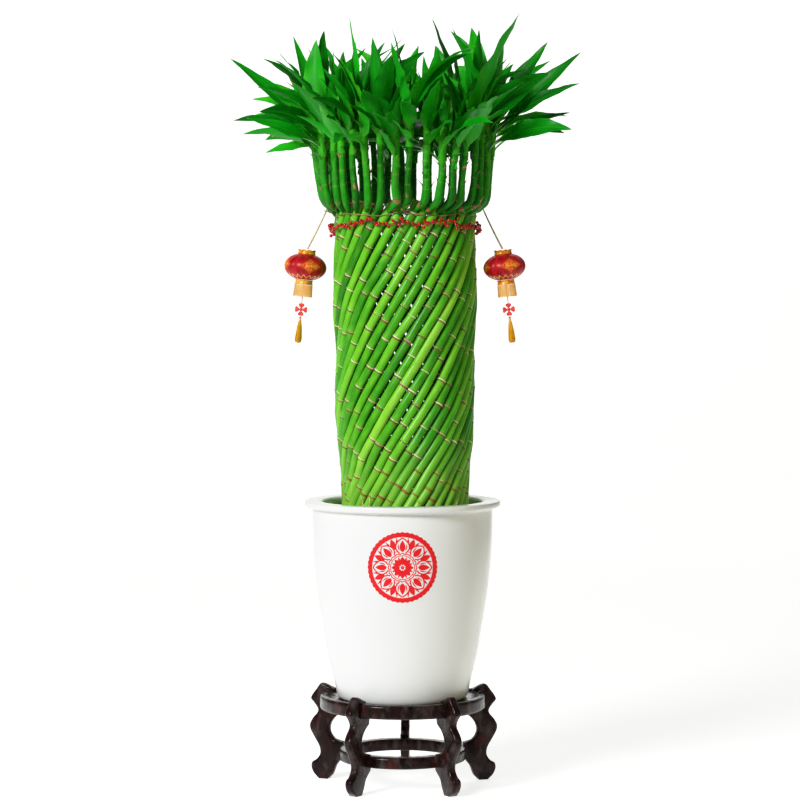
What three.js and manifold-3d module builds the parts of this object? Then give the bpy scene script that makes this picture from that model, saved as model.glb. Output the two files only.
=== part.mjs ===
// A lucky bamboo tower: 36 leafy stalks twisted into an open cylinder, in a white glazed pot on a
// lacquered stand, with a beaded red tie and two small lantern ornaments.
// Millimetres, +Z up. The origin is on the ground, on the axis of the pot. The front is at -Y.
import * as THREE from "three";
import * as BufferGeometryUtils from "three/addons/utils/BufferGeometryUtils.js";
import Module from "manifold-3d";

const wasm = await Module();
wasm.setup();

const GAP = 0.3;

// Stand
const LEG_TURNS = [-56, 16, 88, 160, 237];
const LEG_THICKNESS = 11;
const STAND_TOP = 110;
const UPPER_RING_BOTTOM = 93;
const UPPER_RING_OUTER = 101;
const UPPER_RING_LIP = 93;
const UPPER_RING_INNER = 68;
const SEAT_HEIGHT = 106.5;
const LOWER_RING_OUTER = 78;
const LOWER_RING_INNER = 62;
const LOWER_RING_BOTTOM = 29.5;
const LOWER_RING_TOP = 44;
const RING_SEGMENTS = 25;

// Pot and growing medium
const POT_BOTTOM = SEAT_HEIGHT + GAP;
const POT_TOP = 348;
const RIM_RADIUS = 119.5;
const MOUTH_RADIUS = 96;
const POT_SEGMENTS = 32;
const POT_FLOOR = POT_BOTTOM + 12;
const WALL_FOOT_RADIUS = 75;
const WALL_TOP_RADIUS = 101;
const WALL_TOP = POT_TOP - 14;
const SOIL_TOP = 297;

// The cage of canes
const STALK_COUNT = 36;
const CAGE_SHIFT = 3;
const CANE_BOTTOM = 240;
const CANE_TOP = [700, 707];
const COLLAR_TOP = SOIL_TOP + 4;
const CANE_RADIUS = 5.25;
const JOINT_RADIUS = 5.8;
const BURIED_RADIUS = 4.7;
const JOINT_RISE = 45;
const LOWEST_JOINT = 356;
const GOLDEN_PART = 0.381966;
const CANE_SIDES = 5;
const TWIST_HEIGHT = 658;
const TWIST_RATE = 0.405;
const TWIST_GAIN = 0.0001136;
const CAGE_PROFILE = [
  [240, 77], [297, 74], [350, 72.4], [380, 72.6], [425, 77.5], [470, 80], [530, 79], [600, 82.5],
  [645, 81], [680, 80.5], [720, 81],
];

// Shoots. A pair of numbers is the least and the most that a draw gives.
const SHOOT_SIDES = 5;
const SHOOT_RADIUS = 4.6;
const SHOOT_NECK_RADIUS = 4.2;
const SHOOT_ROOT_RADIUS = 3.4;
const SHOOT_ROOT_DEPTH = 11;
const SHOOT_FOOT_HEIGHT = 709;
const SHOOT_FOOT_TURN = [4.4, 6];
const SHOOT_FOOT_RADIUS = [95, 100];
const SHOOT_SWERVE = [-1.5, 1.5];
const SHOOT_SPREAD = [3, 16];
const SHOOT_TOP = [784, 828];
const SPEAR_LENGTH = [28, 48];

// Leaves. Angles are in degrees, and those of the rise are above the level.
const LEAF_BANDS = [0, 0, 1, 1, 2, 2, 1, 0, 2];
const MOST_LEAVES = 6;
const BAND_HEIGHT = 13;
const LEAF_ROUNDS = 300;
const BLADE_THICKNESS = 1.3;
const BLADE_FOLD = 0.24;
const BLADE_STATIONS = [0.3, 0.66];
const FOOT_HALF_WIDTH = 2.4;
const LEAF_LENGTH = [84, 128];
const LEAF_WIDTH = [20, 32];
const LEAF_SWING = [-50, 50];
const LEAF_RISE = [-8, 40];
const BAND_RISE = 24;
const LEAF_ROLL = [-25, 25];
const LEAF_SWAY = [-8, 8];
const ARCH_RISE = [14, 40];
const STEEPEST = 84;
const MOST_STUNTED = 0.42;
const BLADE_CLEARANCE = 5.6;
const SISTER_CLEARANCE = 3.6;
const CROWN_REACH = 205;
const CROWN_TOP = 925;
const CROWN_BOTTOM = 764;
const CROWN_SEED = 11;

// The leaves that give the crown its outline, one to a line: the stalk and the place on its shoot
// that each grows from, where its tip is (across, deep and high), its width and its arch.
const OUTLINE_LEAVES = [
  [2, 4, 137, -130, 928, 37, 0.10],
  [11, 4, 36, 50, 938, 20, 0.16],
  [31, 4, -62, -120, 924, 22, 0.05],
  [32, 3, -35, -118, 901, 26, 0.02],
  [34, 3, -14, -126, 895, 27, 0.12],
  [20, 4, 1, 100, 919, 17, 0.10],
  [23, 4, -134, 32, 915, 19, 0.05],
  [25, 3, -209, 2, 884, 23, 0.08],
  [26, 2, -205, -22, 808, 22, 0.30],
  [27, 1, -186, -60, 809, 20, 0.10],
  [28, 4, -146, -85, 884, 21, 0.08],
  [22, 4, -103, 62, 903, 20, 0.06],
  [29, 0, -130, -128, 848, 36, 0.10],
  [30, 2, -97, -130, 854, 26, 0.12],
  [33, 2, 30, -142, 856, 25, 0.16],
  [35, 1, 57, -145, 800, 24, 0.20],
  [3, 3, 117, -112, 893, 31, 0.08],
  [6, 3, 216, -22, 891, 27, 0.08],
  [8, 4, 178, 22, 907, 26, 0.05],
  [5, 3, 212, -52, 850, 21, 0.16],
  [7, 1, 203, 4, 816, 24, 0.24],
  [4, 1, 174, -76, 765, 26, 0.34],
  [9, 4, 184, 48, 888, 20, 0.08],
];

const DEPTH_SHIFTS = [0, -7, 7, -14, 14, -21, 21, -28, 28, -35, 35, -42, 42];

// Tie of red beads on wire
const TIE_RADIUS = 89;
const TIE_HEIGHT = 682;
const TIE_BEADS = 36;
const TIE_SWAYS = [[2.6, 5], [1.2, 11]];
const BEAD_RADIUS = 2.3;
const WIRE_RADIUS = 0.9;

// Lantern ornaments
const LANTERN_LEAN = 6;
const LANTERN_REACH = 121;
const LANTERN_HEIGHT = 632;
const LANTERN_BODY_RADIUS = 25.6;
const LANTERN_BODY_HALF = 17;
const LANTERN_END = 65;
const LANTERN_SEGMENTS = 12;
const LANTERN_CAP = 5.6;
const CAP_RADIUS = 10.6;
const SKIRT_LENGTH = 15;
const SKIRT_RADIUS = 11.4;
const SKIRT_THICKNESS = 1.2;
const KNOT_DROP = 52;
const KNOT_REACH = 7.8;
const KNOT_DEPTH = 3;
const THREAD_RADIUS = 0.6;
const TASSEL_FOOT = 93;
const STICK_RADIUS = 1.1;

// The side, the sign of its X, and the turn, radius and height of the seat of its stick.
const LANTERN_SIDES = [["left", -1, 177, 94, 704], ["right", 1, 0.5, 95, 702]];

const group = new THREE.Group();

function degrees(angle) {
  return (angle * Math.PI) / 180;
}

// A seeded generator of draws from 0 to 1.
function drawsFrom(seed) {
  let state = seed >>> 0;
  return function () {
    state = (state + 0x6d2b79f5) >>> 0;
    let mixed = state;
    mixed = Math.imul(mixed ^ (mixed >>> 15), mixed | 1);
    mixed ^= mixed + Math.imul(mixed ^ (mixed >>> 7), mixed | 61);
    return ((mixed ^ (mixed >>> 14)) >>> 0) / 4294967296;
  };
}

function between([least, most], part) {
  return least + (most - least) * part;
}

function finish(colour, roughness, metalness = 0) {
  return new THREE.MeshStandardMaterial({ color: colour, roughness, metalness });
}

const greenStalk = finish(0x3f9a1e, 0.45);
const whiteGlaze = finish(0xf2f1ea, 0.18);
const darkSoil = finish(0x3a2a1c, 0.95);
const redBeads = finish(0xb5121a, 0.25);
const darkLacquer = finish(0x2c0f0c, 0.25);
const tanStick = finish(0xc9a877, 0.6);
const goldFoil = finish(0xd9921c, 0.3, 0.7);
const redPaper = finish(0xb3161a, 0.35);
const redThread = finish(0xe23b2e, 0.7);
const goldThread = finish(0xc98a12, 0.6);

function addPiece(name, geometry, material, place = new THREE.Group()) {
  const piece = new THREE.Mesh(geometry, material);
  piece.name = name;
  place.add(piece);
  if (!place.parent) {
    group.add(place);
  }
  return piece;
}

// Solids made of loops of points, each loop running anticlockwise round the way of growth.

function geometryOf(points, faces) {
  const geometry = new THREE.BufferGeometry();
  const numbers = points.flatMap((p) => [p.x, p.y, p.z]);
  geometry.setAttribute("position", new THREE.BufferAttribute(new Float32Array(numbers), 3));
  geometry.setIndex(faces.flat());
  return geometry;
}

function loopSolid(loops, tip = null) {
  const sides = loops[0].length;
  const points = loops.flat();
  const faces = [];
  for (let j = 1; j < sides - 1; j += 1) {
    faces.push([0, j + 1, j]);
  }
  for (let i = 0; i < loops.length - 1; i += 1) {
    for (let j = 0; j < sides; j += 1) {
      const a = i * sides + j;
      const b = i * sides + ((j + 1) % sides);
      faces.push([a, b, b + sides], [a, b + sides, a + sides]);
    }
  }
  const last = (loops.length - 1) * sides;
  if (tip) {
    points.push(tip);
    for (let j = 0; j < sides; j += 1) {
      faces.push([last + j, last + ((j + 1) % sides), points.length - 1]);
    }
  } else {
    for (let j = 1; j < sides - 1; j += 1) {
      faces.push([last, last + j, last + j + 1]);
    }
  }
  return geometryOf(points, faces);
}

// One loop square to a path, with its first corner on the side that faces away from the axis.
function loopAt(centre, along, outward, radius, sides) {
  const out = outward.clone().addScaledVector(along, -outward.dot(along)).normalize();
  const across = new THREE.Vector3().crossVectors(along, out);
  const loop = [];
  for (let j = 0; j < sides; j += 1) {
    const turn = (2 * Math.PI * j) / sides;
    const corner = centre.clone().addScaledVector(out, radius * Math.cos(turn));
    loop.push(corner.addScaledVector(across, radius * Math.sin(turn)));
  }
  return loop;
}

function turned(profile, segments) {
  const points = profile.map(([radius, height]) => new THREE.Vector2(radius, height));
  return new THREE.LatheGeometry(points, segments).rotateX(Math.PI / 2);
}

function toSolid(geometry) {
  const bare = geometry.clone();
  bare.deleteAttribute("normal");
  bare.deleteAttribute("uv");
  const merged = BufferGeometryUtils.mergeVertices(bare, 1e-4);
  const vertProperties = new Float32Array(merged.attributes.position.array);
  const triVerts = new Uint32Array(merged.index.array);
  return new wasm.Manifold(new wasm.Mesh({ numProp: 3, vertProperties, triVerts }));
}

function toGeometry(solid) {
  const mesh = solid.getMesh();
  const geometry = new THREE.BufferGeometry();
  geometry.setAttribute("position", new THREE.BufferAttribute(new Float32Array(mesh.vertProperties), 3));
  geometry.setIndex(new THREE.BufferAttribute(new Uint32Array(mesh.triVerts), 1));
  return geometry;
}

function joined(geometries) {
  return toGeometry(geometries.map(toSolid).reduce((whole, next) => whole.add(next)));
}

// The cage: where the middle line of each cane runs.

function cageRadius(height) {
  let upper = 1;
  while (upper < CAGE_PROFILE.length - 1 && CAGE_PROFILE[upper][0] < height) {
    upper += 1;
  }
  const [lowHeight, lowRadius] = CAGE_PROFILE[upper - 1];
  const [highHeight, highRadius] = CAGE_PROFILE[upper];
  const part = (height - lowHeight) / (highHeight - lowHeight);
  const eased = part * part * (3 - 2 * part);
  return lowRadius + (highRadius - lowRadius) * eased;
}

function cageTurn(height) {
  const above = height - TWIST_HEIGHT;
  return TWIST_RATE * above - TWIST_GAIN * above * above;
}

function ringPoint(radius, turn, height) {
  const angle = degrees(turn);
  return new THREE.Vector3(CAGE_SHIFT + radius * Math.cos(angle), radius * Math.sin(angle), height);
}

function canePoint(stalk, height) {
  const turn = -90 + (360 / STALK_COUNT) * stalk + cageTurn(height);
  return ringPoint(cageRadius(height), turn, height);
}

function outwardAt(point) {
  return new THREE.Vector3(point.x - CAGE_SHIFT, point.y, 0).normalize();
}

// One draw of numbers for each stalk, in a fixed order, so that the same stalks grow every time.
function planStalks() {
  const draw = drawsFrom(CROWN_SEED);
  const plans = [];
  for (let stalk = 0; stalk < STALK_COUNT; stalk += 1) {
    const top = between(CANE_TOP, draw());
    const firstJoint = LOWEST_JOINT + JOINT_RISE * ((stalk * GOLDEN_PART + 0.1 * draw()) % 1);
    const caneTurn = -90 + (360 / STALK_COUNT) * stalk + cageTurn(top);
    const footTurn = caneTurn + between(SHOOT_FOOT_TURN, draw());
    const footRadius = between(SHOOT_FOOT_RADIUS, draw());
    const topTurn = footTurn + between(SHOOT_SWERVE, draw());
    const topRadius = footRadius + between(SHOOT_SPREAD, draw());
    const shootTop = between(SHOOT_TOP, draw());
    const spear = between(SPEAR_LENGTH, draw());
    const firstFace = Math.floor(SHOOT_SIDES * draw());
    plans.push({
      stalk, top, firstJoint, footTurn, footRadius, topTurn, topRadius, shootTop, spear, firstFace,
    });
  }
  return plans;
}

function jointHeights(plan) {
  const heights = [];
  for (let height = plan.firstJoint; height < plan.top - 9; height += JOINT_RISE) {
    heights.push(height);
  }
  return heights;
}

function caneGeometry(plan) {
  const stations = [[CANE_BOTTOM, BURIED_RADIUS], [COLLAR_TOP, BURIED_RADIUS]];
  for (const height of jointHeights(plan)) {
    stations.push([height - 1.4, CANE_RADIUS], [height + 0.6, JOINT_RADIUS]);
  }
  stations.push([plan.top, CANE_RADIUS]);
  const loops = stations.map(([height, radius]) => {
    const centre = canePoint(plan.stalk, height);
    const below = canePoint(plan.stalk, Math.max(height - 3, CANE_BOTTOM));
    const above = canePoint(plan.stalk, height + 3);
    let along = above.sub(below).normalize();
    if (height <= COLLAR_TOP) {
      along = buriedWay(plan.stalk);
    }
    return loopAt(centre, along, outwardAt(centre), radius, CANE_SIDES);
  });
  return loopSolid(loops);
}

// A cane is straight from its buried end to a little above the growing medium.
function buriedWay(stalk) {
  return canePoint(stalk, COLLAR_TOP).sub(canePoint(stalk, CANE_BOTTOM)).normalize();
}

// The straight hole that a cane's buried end stands in.
function holeGeometry(stalk) {
  const along = buriedWay(stalk);
  const low = canePoint(stalk, CANE_BOTTOM).addScaledVector(along, -GAP);
  const high = canePoint(stalk, COLLAR_TOP).addScaledVector(along, 4);
  const radius = BURIED_RADIUS + GAP / Math.cos(Math.PI / CANE_SIDES);
  const first = loopAt(low, along, outwardAt(canePoint(stalk, CANE_BOTTOM)), radius, CANE_SIDES);
  const last = loopAt(high, along, outwardAt(canePoint(stalk, COLLAR_TOP)), radius, CANE_SIDES);
  return loopSolid([first, last]);
}

// Stations up a shoot, from inside the cane to the base of the spear.
function shootPath(plan) {
  const foot = ringPoint(plan.footRadius, plan.footTurn, SHOOT_FOOT_HEIGHT);
  const top = ringPoint(plan.topRadius, plan.topTurn, plan.shootTop);
  const start = canePoint(plan.stalk, plan.top - SHOOT_ROOT_DEPTH);
  const middle = foot.clone().lerp(top, 0.3).addScaledVector(outwardAt(foot), 2);
  return [start, foot, middle, top];
}

// The loops of a shoot: two up its bare foot, and then one at each edge of the leaf bands.
function shootLoops(plan) {
  const [start, foot, middle, top] = shootPath(plan);
  const up = top.clone().sub(middle).normalize();
  const out = outwardAt(foot);
  const loops = [
    loopAt(start, foot.clone().sub(start).normalize(), out, SHOOT_ROOT_RADIUS, SHOOT_SIDES),
    loopAt(foot, middle.clone().sub(start).normalize(), out, SHOOT_RADIUS, SHOOT_SIDES),
  ];
  for (let edge = 3; edge >= 0; edge -= 1) {
    const centre = top.clone().addScaledVector(up, -BAND_HEIGHT * edge);
    loops.push(loopAt(centre, up, out, SHOOT_NECK_RADIUS, SHOOT_SIDES));
  }
  return loops;
}

function spearTip(plan) {
  const [, , middle, top] = shootPath(plan);
  const up = top.clone().sub(middle).normalize();
  return top.clone().addScaledVector(up, plan.spear);
}

// The four corners on the shoot that a leaf's base spreads over, from its lower right one round.
function baseCorners(plan, band, face) {
  const loops = shootLoops(plan);
  const next = (face + 1) % SHOOT_SIDES;
  const [low, high] = [loops[band + 2], loops[band + 3]];
  return [low[next], high[next], high[face], low[face]];
}

// The shoot with its leaves, in one skin: each leaf grows out of one side of the shoot.
function shootGeometry(plan, grown) {
  const loops = shootLoops(plan);
  const points = loops.flat();
  const faces = [];
  for (let j = 1; j < SHOOT_SIDES - 1; j += 1) {
    faces.push([0, j + 1, j]);
  }
  for (let i = 0; i < loops.length - 1; i += 1) {
    for (let j = 0; j < SHOOT_SIDES; j += 1) {
      const a = i * SHOOT_SIDES + j;
      const b = i * SHOOT_SIDES + ((j + 1) % SHOOT_SIDES);
      const leaf = grown.find((other) => other.band === i - 2 && other.face === j);
      if (leaf) {
        addBlade(leaf, points, faces, [b, b + SHOOT_SIDES, a + SHOOT_SIDES, a]);
      } else {
        faces.push([a, b, b + SHOOT_SIDES], [a, b + SHOOT_SIDES, a + SHOOT_SIDES]);
      }
    }
  }
  const last = (loops.length - 1) * SHOOT_SIDES;
  points.push(spearTip(plan));
  for (let j = 0; j < SHOOT_SIDES; j += 1) {
    faces.push([last + j, last + ((j + 1) % SHOOT_SIDES), points.length - 1]);
  }
  return geometryOf(points, faces);
}

// A leaf's midrib is a curve with one bend, from its root in the shoot to its tip.
function midrib(leaf, part) {
  const rest = 1 - part;
  return leaf.root.clone().multiplyScalar(rest * rest)
    .addScaledVector(leaf.bend, 2 * rest * part)
    .addScaledVector(leaf.tip, part * part);
}

function midribWay(leaf, part) {
  const first = leaf.bend.clone().sub(leaf.root).multiplyScalar(1 - part);
  return first.addScaledVector(leaf.tip.clone().sub(leaf.bend), part).normalize();
}

// Half the blade's width along its length: a narrow foot, widest at two fifths, a long point.
function halfWidth(leaf, part) {
  const swell = Math.sin(Math.PI * Math.pow(part, 0.72));
  const foot = FOOT_HALF_WIDTH * (1 - part) * (1 - part);
  return Math.max(leaf.width * 0.5 * Math.pow(Math.max(swell, 0), 0.9), foot);
}

function bladeFrame(leaf, part) {
  const along = midribWay(leaf, part);
  const level = new THREE.Vector3(-Math.sin(leaf.turn), Math.cos(leaf.turn), 0);
  const side = level.applyAxisAngle(along, leaf.roll);
  side.addScaledVector(along, -side.dot(along)).normalize();
  const face = new THREE.Vector3().crossVectors(along, side);
  return { side, face };
}

// A blade's skin, from the four corners of its base to its tip, split alike on both faces.
function addBlade(leaf, points, faces, base) {
  let before = base;
  for (const part of BLADE_STATIONS) {
    const centre = midrib(leaf, part);
    const { side, face } = bladeFrame(leaf, part);
    const half = halfWidth(leaf, part);
    const lift = BLADE_FOLD * half;
    const first = points.length;
    points.push(centre.clone().addScaledVector(side, half).addScaledVector(face, lift));
    points.push(centre.clone().addScaledVector(face, BLADE_THICKNESS / 2));
    points.push(centre.clone().addScaledVector(side, -half).addScaledVector(face, lift));
    points.push(centre.clone().addScaledVector(face, -BLADE_THICKNESS / 2));
    const [right, upper, left, lower] = before;
    const [nextRight, nextUpper, nextLeft, nextLower] = [0, 1, 2, 3].map((j) => first + j);
    faces.push([right, upper, nextUpper], [right, nextUpper, nextRight]);
    faces.push([left, nextUpper, upper], [left, nextLeft, nextUpper]);
    faces.push([right, nextLower, lower], [right, nextRight, nextLower]);
    faces.push([left, lower, nextLower], [left, nextLower, nextLeft]);
    before = [nextRight, nextUpper, nextLeft, nextLower];
  }
  points.push(leaf.tip);
  for (let j = 0; j < 4; j += 1) {
    faces.push([before[j], before[(j + 1) % 4], points.length - 1]);
  }
}

// Points spread over a blade, to keep it clear of its neighbours.
const SAMPLE_ROWS = 14;
const SAMPLE_PLACES = [-1, -0.5, 0, 0.5, 1];
const INNER_SAMPLES = 4 * SAMPLE_PLACES.length;
const ROOT_SAMPLES = 2 * SAMPLE_PLACES.length;

function bladeSamples(leaf) {
  const samples = [];
  for (let i = 1; i <= SAMPLE_ROWS; i += 1) {
    const part = i / SAMPLE_ROWS;
    const centre = midrib(leaf, part);
    const { side, face } = bladeFrame(leaf, part);
    const half = halfWidth(leaf, part);
    for (const place of SAMPLE_PLACES) {
      const lift = BLADE_FOLD * half * Math.abs(place);
      samples.push(centre.clone().addScaledVector(side, half * place).addScaledVector(face, lift));
    }
  }
  return samples;
}

function shootSamples(plan) {
  const path = [...shootPath(plan).slice(1), spearTip(plan)];
  const samples = [path[3]];
  for (let i = 0; i < path.length - 1; i += 1) {
    for (let step = 0; step < 10; step += 1) {
      samples.push(path[i].clone().lerp(path[i + 1], step / 10));
    }
  }
  return samples;
}

// The way that one side of a shoot faces, in degrees round the upright.
function faceTurn(plan, face) {
  return plan.footTurn + (360 / SHOOT_SIDES) * (face + 0.5);
}

function leafRoot(plan, band, face) {
  const root = new THREE.Vector3();
  for (const corner of baseCorners(plan, band, face)) {
    root.addScaledVector(corner, 0.25);
  }
  return root;
}

function outlineLeaf(plan, number, shift, tipX, tipY, tipZ, width, arch) {
  const tip = new THREE.Vector3(tipX, tipY + shift, tipZ);
  const band = LEAF_BANDS[number];
  const [, , , top] = shootPath(plan);
  const wanted = (Math.atan2(tip.y - top.y, tip.x - top.x) * 180) / Math.PI;
  const step = Math.round((wanted - faceTurn(plan, 0)) / (360 / SHOOT_SIDES));
  const face = (step + 3 * SHOOT_SIDES) % SHOOT_SIDES;
  const root = leafRoot(plan, band, face);
  const bend = root.clone().lerp(tip, 0.42);
  bend.z += arch * tip.distanceTo(root);
  const turn = Math.atan2(tip.y - root.y, tip.x - root.x);
  return { number, band, face, root, bend, tip, turn, width, roll: 0 };
}

function drawnLeaf(plan, number, draw, round) {
  const band = LEAF_BANDS[number];
  const face = (plan.firstFace + 2 * number + Math.floor(number / SHOOT_SIDES)) % SHOOT_SIDES;
  const root = leafRoot(plan, band, face);
  const stunted = 1 - (MOST_STUNTED * round) / LEAF_ROUNDS;
  const turn = degrees(faceTurn(plan, face) + between(LEAF_SWING, draw()));
  const rise = degrees(BAND_RISE * band + between(LEAF_RISE, draw()));
  const length = between(LEAF_LENGTH, draw()) * stunted;
  const width = between(LEAF_WIDTH, draw()) * stunted;
  const roll = degrees(between(LEAF_ROLL, draw()));
  const sway = between(LEAF_SWAY, draw());
  const steeper = Math.min(rise + degrees(between(ARCH_RISE, draw())), degrees(STEEPEST));
  const way = (lift) => new THREE.Vector3(
    Math.cos(turn) * Math.cos(lift), Math.sin(turn) * Math.cos(lift), Math.sin(lift));
  const bend = root.clone().addScaledVector(way(steeper), length * 0.55);
  bend.x -= Math.sin(turn) * sway;
  bend.y += Math.cos(turn) * sway;
  const tip = root.clone().addScaledVector(way(rise), length);
  return { number, band, face, root, bend, tip, turn, width, roll };
}

function fitsCrown(samples) {
  return samples.every((p) => Math.abs(p.x - CAGE_SHIFT) < CROWN_REACH && Math.abs(p.y) < CROWN_REACH
    && p.z < CROWN_TOP && p.z > CROWN_BOTTOM);
}

// What already stands in the crown: the points on one blade or shoot, in a ball round them.
function standing(stalk, points, innerCount) {
  const ball = new THREE.Sphere().setFromPoints(points);
  return { stalk, points, innerCount, ball };
}

function farApart(points, others, distance) {
  const limit = distance * distance;
  return points.every((p) => others.every((other) => p.distanceToSquared(other) > limit));
}

// Leaves of one shoot meet only near their roots, and those of other shoots stay well apart.
function clearOf(samples, taken, stalk) {
  const ball = new THREE.Sphere().setFromPoints(samples);
  return taken.every((other) => {
    if (ball.center.distanceTo(other.ball.center) > ball.radius + other.ball.radius + BLADE_CLEARANCE) {
      return true;
    }
    if (other.stalk !== stalk) {
      return farApart(samples, other.points, BLADE_CLEARANCE);
    }
    const inner = other.points.slice(0, other.innerCount);
    const outer = other.points.slice(other.innerCount);
    return farApart(samples.slice(INNER_SAMPLES), inner, SISTER_CLEARANCE)
      && farApart(samples.slice(ROOT_SAMPLES), outer, SISTER_CLEARANCE);
  });
}

// An outline leaf is bent to the front or the back until it is clear of the other stalks. Each of
// the rest is drawn again until it lies inside the crown and clear of them too.
function growLeaves(plans) {
  const draw = drawsFrom(CROWN_SEED + 1);
  const leaves = plans.map(() => []);
  const taken = plans.map((plan) => {
    const samples = shootSamples(plan);
    return standing(plan.stalk, samples, samples.length);
  });
  function keep(plan, leaf, samples) {
    leaves[plan.stalk].push(leaf);
    taken.push(standing(plan.stalk, samples, INNER_SAMPLES));
  }
  for (const [stalk, number, ...rest] of OUTLINE_LEAVES) {
    for (const shift of DEPTH_SHIFTS) {
      const leaf = outlineLeaf(plans[stalk], number, shift, ...rest);
      const samples = bladeSamples(leaf);
      if (clearOf(samples, taken, stalk)) {
        keep(plans[stalk], leaf, samples);
        break;
      }
    }
  }
  for (let number = 0; number < LEAF_BANDS.length; number += 1) {
    for (const plan of plans) {
      const sisters = leaves[plan.stalk];
      const planned = drawnLeaf(plan, number, () => 0.5, 0);
      const full = sisters.length >= MOST_LEAVES || sisters.some((leaf) => (
        leaf.number === number || (leaf.band === planned.band && leaf.face === planned.face)));
      for (let round = 0; round < LEAF_ROUNDS && !full; round += 1) {
        const leaf = drawnLeaf(plan, number, draw, round);
        const samples = bladeSamples(leaf);
        if (fitsCrown(samples) && clearOf(samples, taken, plan.stalk)) {
          keep(plan, leaf, samples);
          break;
        }
      }
    }
  }
  return leaves;
}

const plans = planStalks();
const leaves = growLeaves(plans);
for (const plan of plans) {
  const number = String(plan.stalk + 1).padStart(2, "0");
  const shoot = shootGeometry(plan, leaves[plan.stalk]);
  addPiece(`stalk_${number}`, joined([caneGeometry(plan), shoot]), greenStalk);
}

// The pot is turned in one piece, with a broad flat rim.
const POT_PROFILE = [
  [0, POT_BOTTOM], [79.5, POT_BOTTOM], [84.5, 132], [91.5, 162], [97.6, 199], [103.7, 237],
  [109.5, 305], [110, POT_TOP - 9], [RIM_RADIUS, POT_TOP - 7], [RIM_RADIUS, POT_TOP],
  [MOUTH_RADIUS, POT_TOP], [WALL_TOP_RADIUS, WALL_TOP], [WALL_FOOT_RADIUS, POT_FLOOR], [0, POT_FLOOR],
];
addPiece("pot", turned(POT_PROFILE, POT_SEGMENTS), whiteGlaze);

// The growing medium fills the pot to just under its mouth and has a hole for each cane.
function innerRadius(height) {
  const part = (height - POT_FLOOR) / (WALL_TOP - POT_FLOOR);
  return WALL_FOOT_RADIUS + (WALL_TOP_RADIUS - WALL_FOOT_RADIUS) * part;
}

function soilGeometry() {
  const low = POT_FLOOR + GAP;
  const profile = [
    [0, low], [innerRadius(low) - 1.5 * GAP, low], [innerRadius(SOIL_TOP) - 1.5 * GAP, SOIL_TOP],
    [0, SOIL_TOP],
  ];
  let soil = toSolid(turned(profile, POT_SEGMENTS));
  for (let stalk = 0; stalk < STALK_COUNT; stalk += 1) {
    soil = soil.subtract(toSolid(holeGeometry(stalk)));
  }
  return toGeometry(soil);
}
addPiece("soil", soilGeometry(), darkSoil);

// The tie: beads threaded on wire, wound round the cage just under the shoots.
function tieGeometry() {
  const loops = [];
  const steps = TIE_BEADS * 2;
  for (let i = 0; i < steps; i += 1) {
    const turn = (360 * i) / steps;
    let height = TIE_HEIGHT;
    for (const [sway, waves] of TIE_SWAYS) {
      height += sway * Math.sin(degrees(waves * turn));
    }
    const centre = ringPoint(TIE_RADIUS, turn, height);
    const along = new THREE.Vector3(-Math.sin(degrees(turn)), Math.cos(degrees(turn)), 0);
    const radius = i % 2 === 0 ? BEAD_RADIUS : WIRE_RADIUS;
    loops.push(loopAt(centre, along, outwardAt(centre), radius, 4));
  }
  const points = loops.flat();
  const faces = [];
  for (let i = 0; i < steps; i += 1) {
    for (let j = 0; j < 4; j += 1) {
      const next = (i + 1) % steps;
      const a = i * 4 + j;
      const b = i * 4 + ((j + 1) % 4);
      const c = next * 4 + ((j + 1) % 4);
      const d = next * 4 + j;
      faces.push([a, b, c], [a, c, d]);
    }
  }
  return geometryOf(points, faces);
}
addPiece("tie", tieGeometry(), redBeads);

// The stand: five leg boards that grip an upper and a lower ring, a little unevenly spread.
const UPPER_RING_PROFILE = [
  [UPPER_RING_INNER, UPPER_RING_BOTTOM], [UPPER_RING_OUTER, UPPER_RING_BOTTOM],
  [UPPER_RING_OUTER, STAND_TOP], [UPPER_RING_LIP, STAND_TOP], [UPPER_RING_LIP, SEAT_HEIGHT],
  [UPPER_RING_INNER, SEAT_HEIGHT], [UPPER_RING_INNER, UPPER_RING_BOTTOM],
];
const LOWER_RING_PROFILE = [
  [LOWER_RING_INNER, LOWER_RING_BOTTOM], [LOWER_RING_OUTER, LOWER_RING_BOTTOM],
  [LOWER_RING_OUTER, LOWER_RING_TOP], [LOWER_RING_INNER, LOWER_RING_TOP],
  [LOWER_RING_INNER, LOWER_RING_BOTTOM],
];
addPiece("stand_upper_ring", turned(UPPER_RING_PROFILE, RING_SEGMENTS), darkLacquer);
addPiece("stand_lower_ring", turned(LOWER_RING_PROFILE, RING_SEGMENTS), darkLacquer);

// The leg's outline, as distance from the axis and height, from its sole round its outer edge.
const LEG_OUTLINE = [
  [97, 0], [108, 0], [115, 5], [119, 13], [118, 20], [112, 24], [107.5, 31], [108.5, 40], [115, 51],
  [120, 60], [121, 67], [117, 75], [111, 82], [110.5, 87], [119.5, 99], [117, 105], [107, 118],
  [102, 118.5], [89, 112.5], [89, STAND_TOP + GAP], [UPPER_RING_OUTER + GAP, STAND_TOP + GAP],
  [UPPER_RING_OUTER + GAP, UPPER_RING_BOTTOM - GAP], [80, UPPER_RING_BOTTOM - GAP], [79.5, 84],
  [88, 77], [94, 68], [94.5, 58], [88, 50], [LOWER_RING_OUTER + GAP, 47],
  [LOWER_RING_OUTER + GAP, 28], [86, 18], [91, 6],
];

function legGeometry() {
  const shape = new THREE.Shape(LEG_OUTLINE.map(([reach, height]) => new THREE.Vector2(reach, height)));
  const board = new THREE.ExtrudeGeometry(shape, { depth: LEG_THICKNESS, bevelEnabled: false });
  return board.translate(0, 0, -LEG_THICKNESS / 2).rotateX(Math.PI / 2);
}

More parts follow.
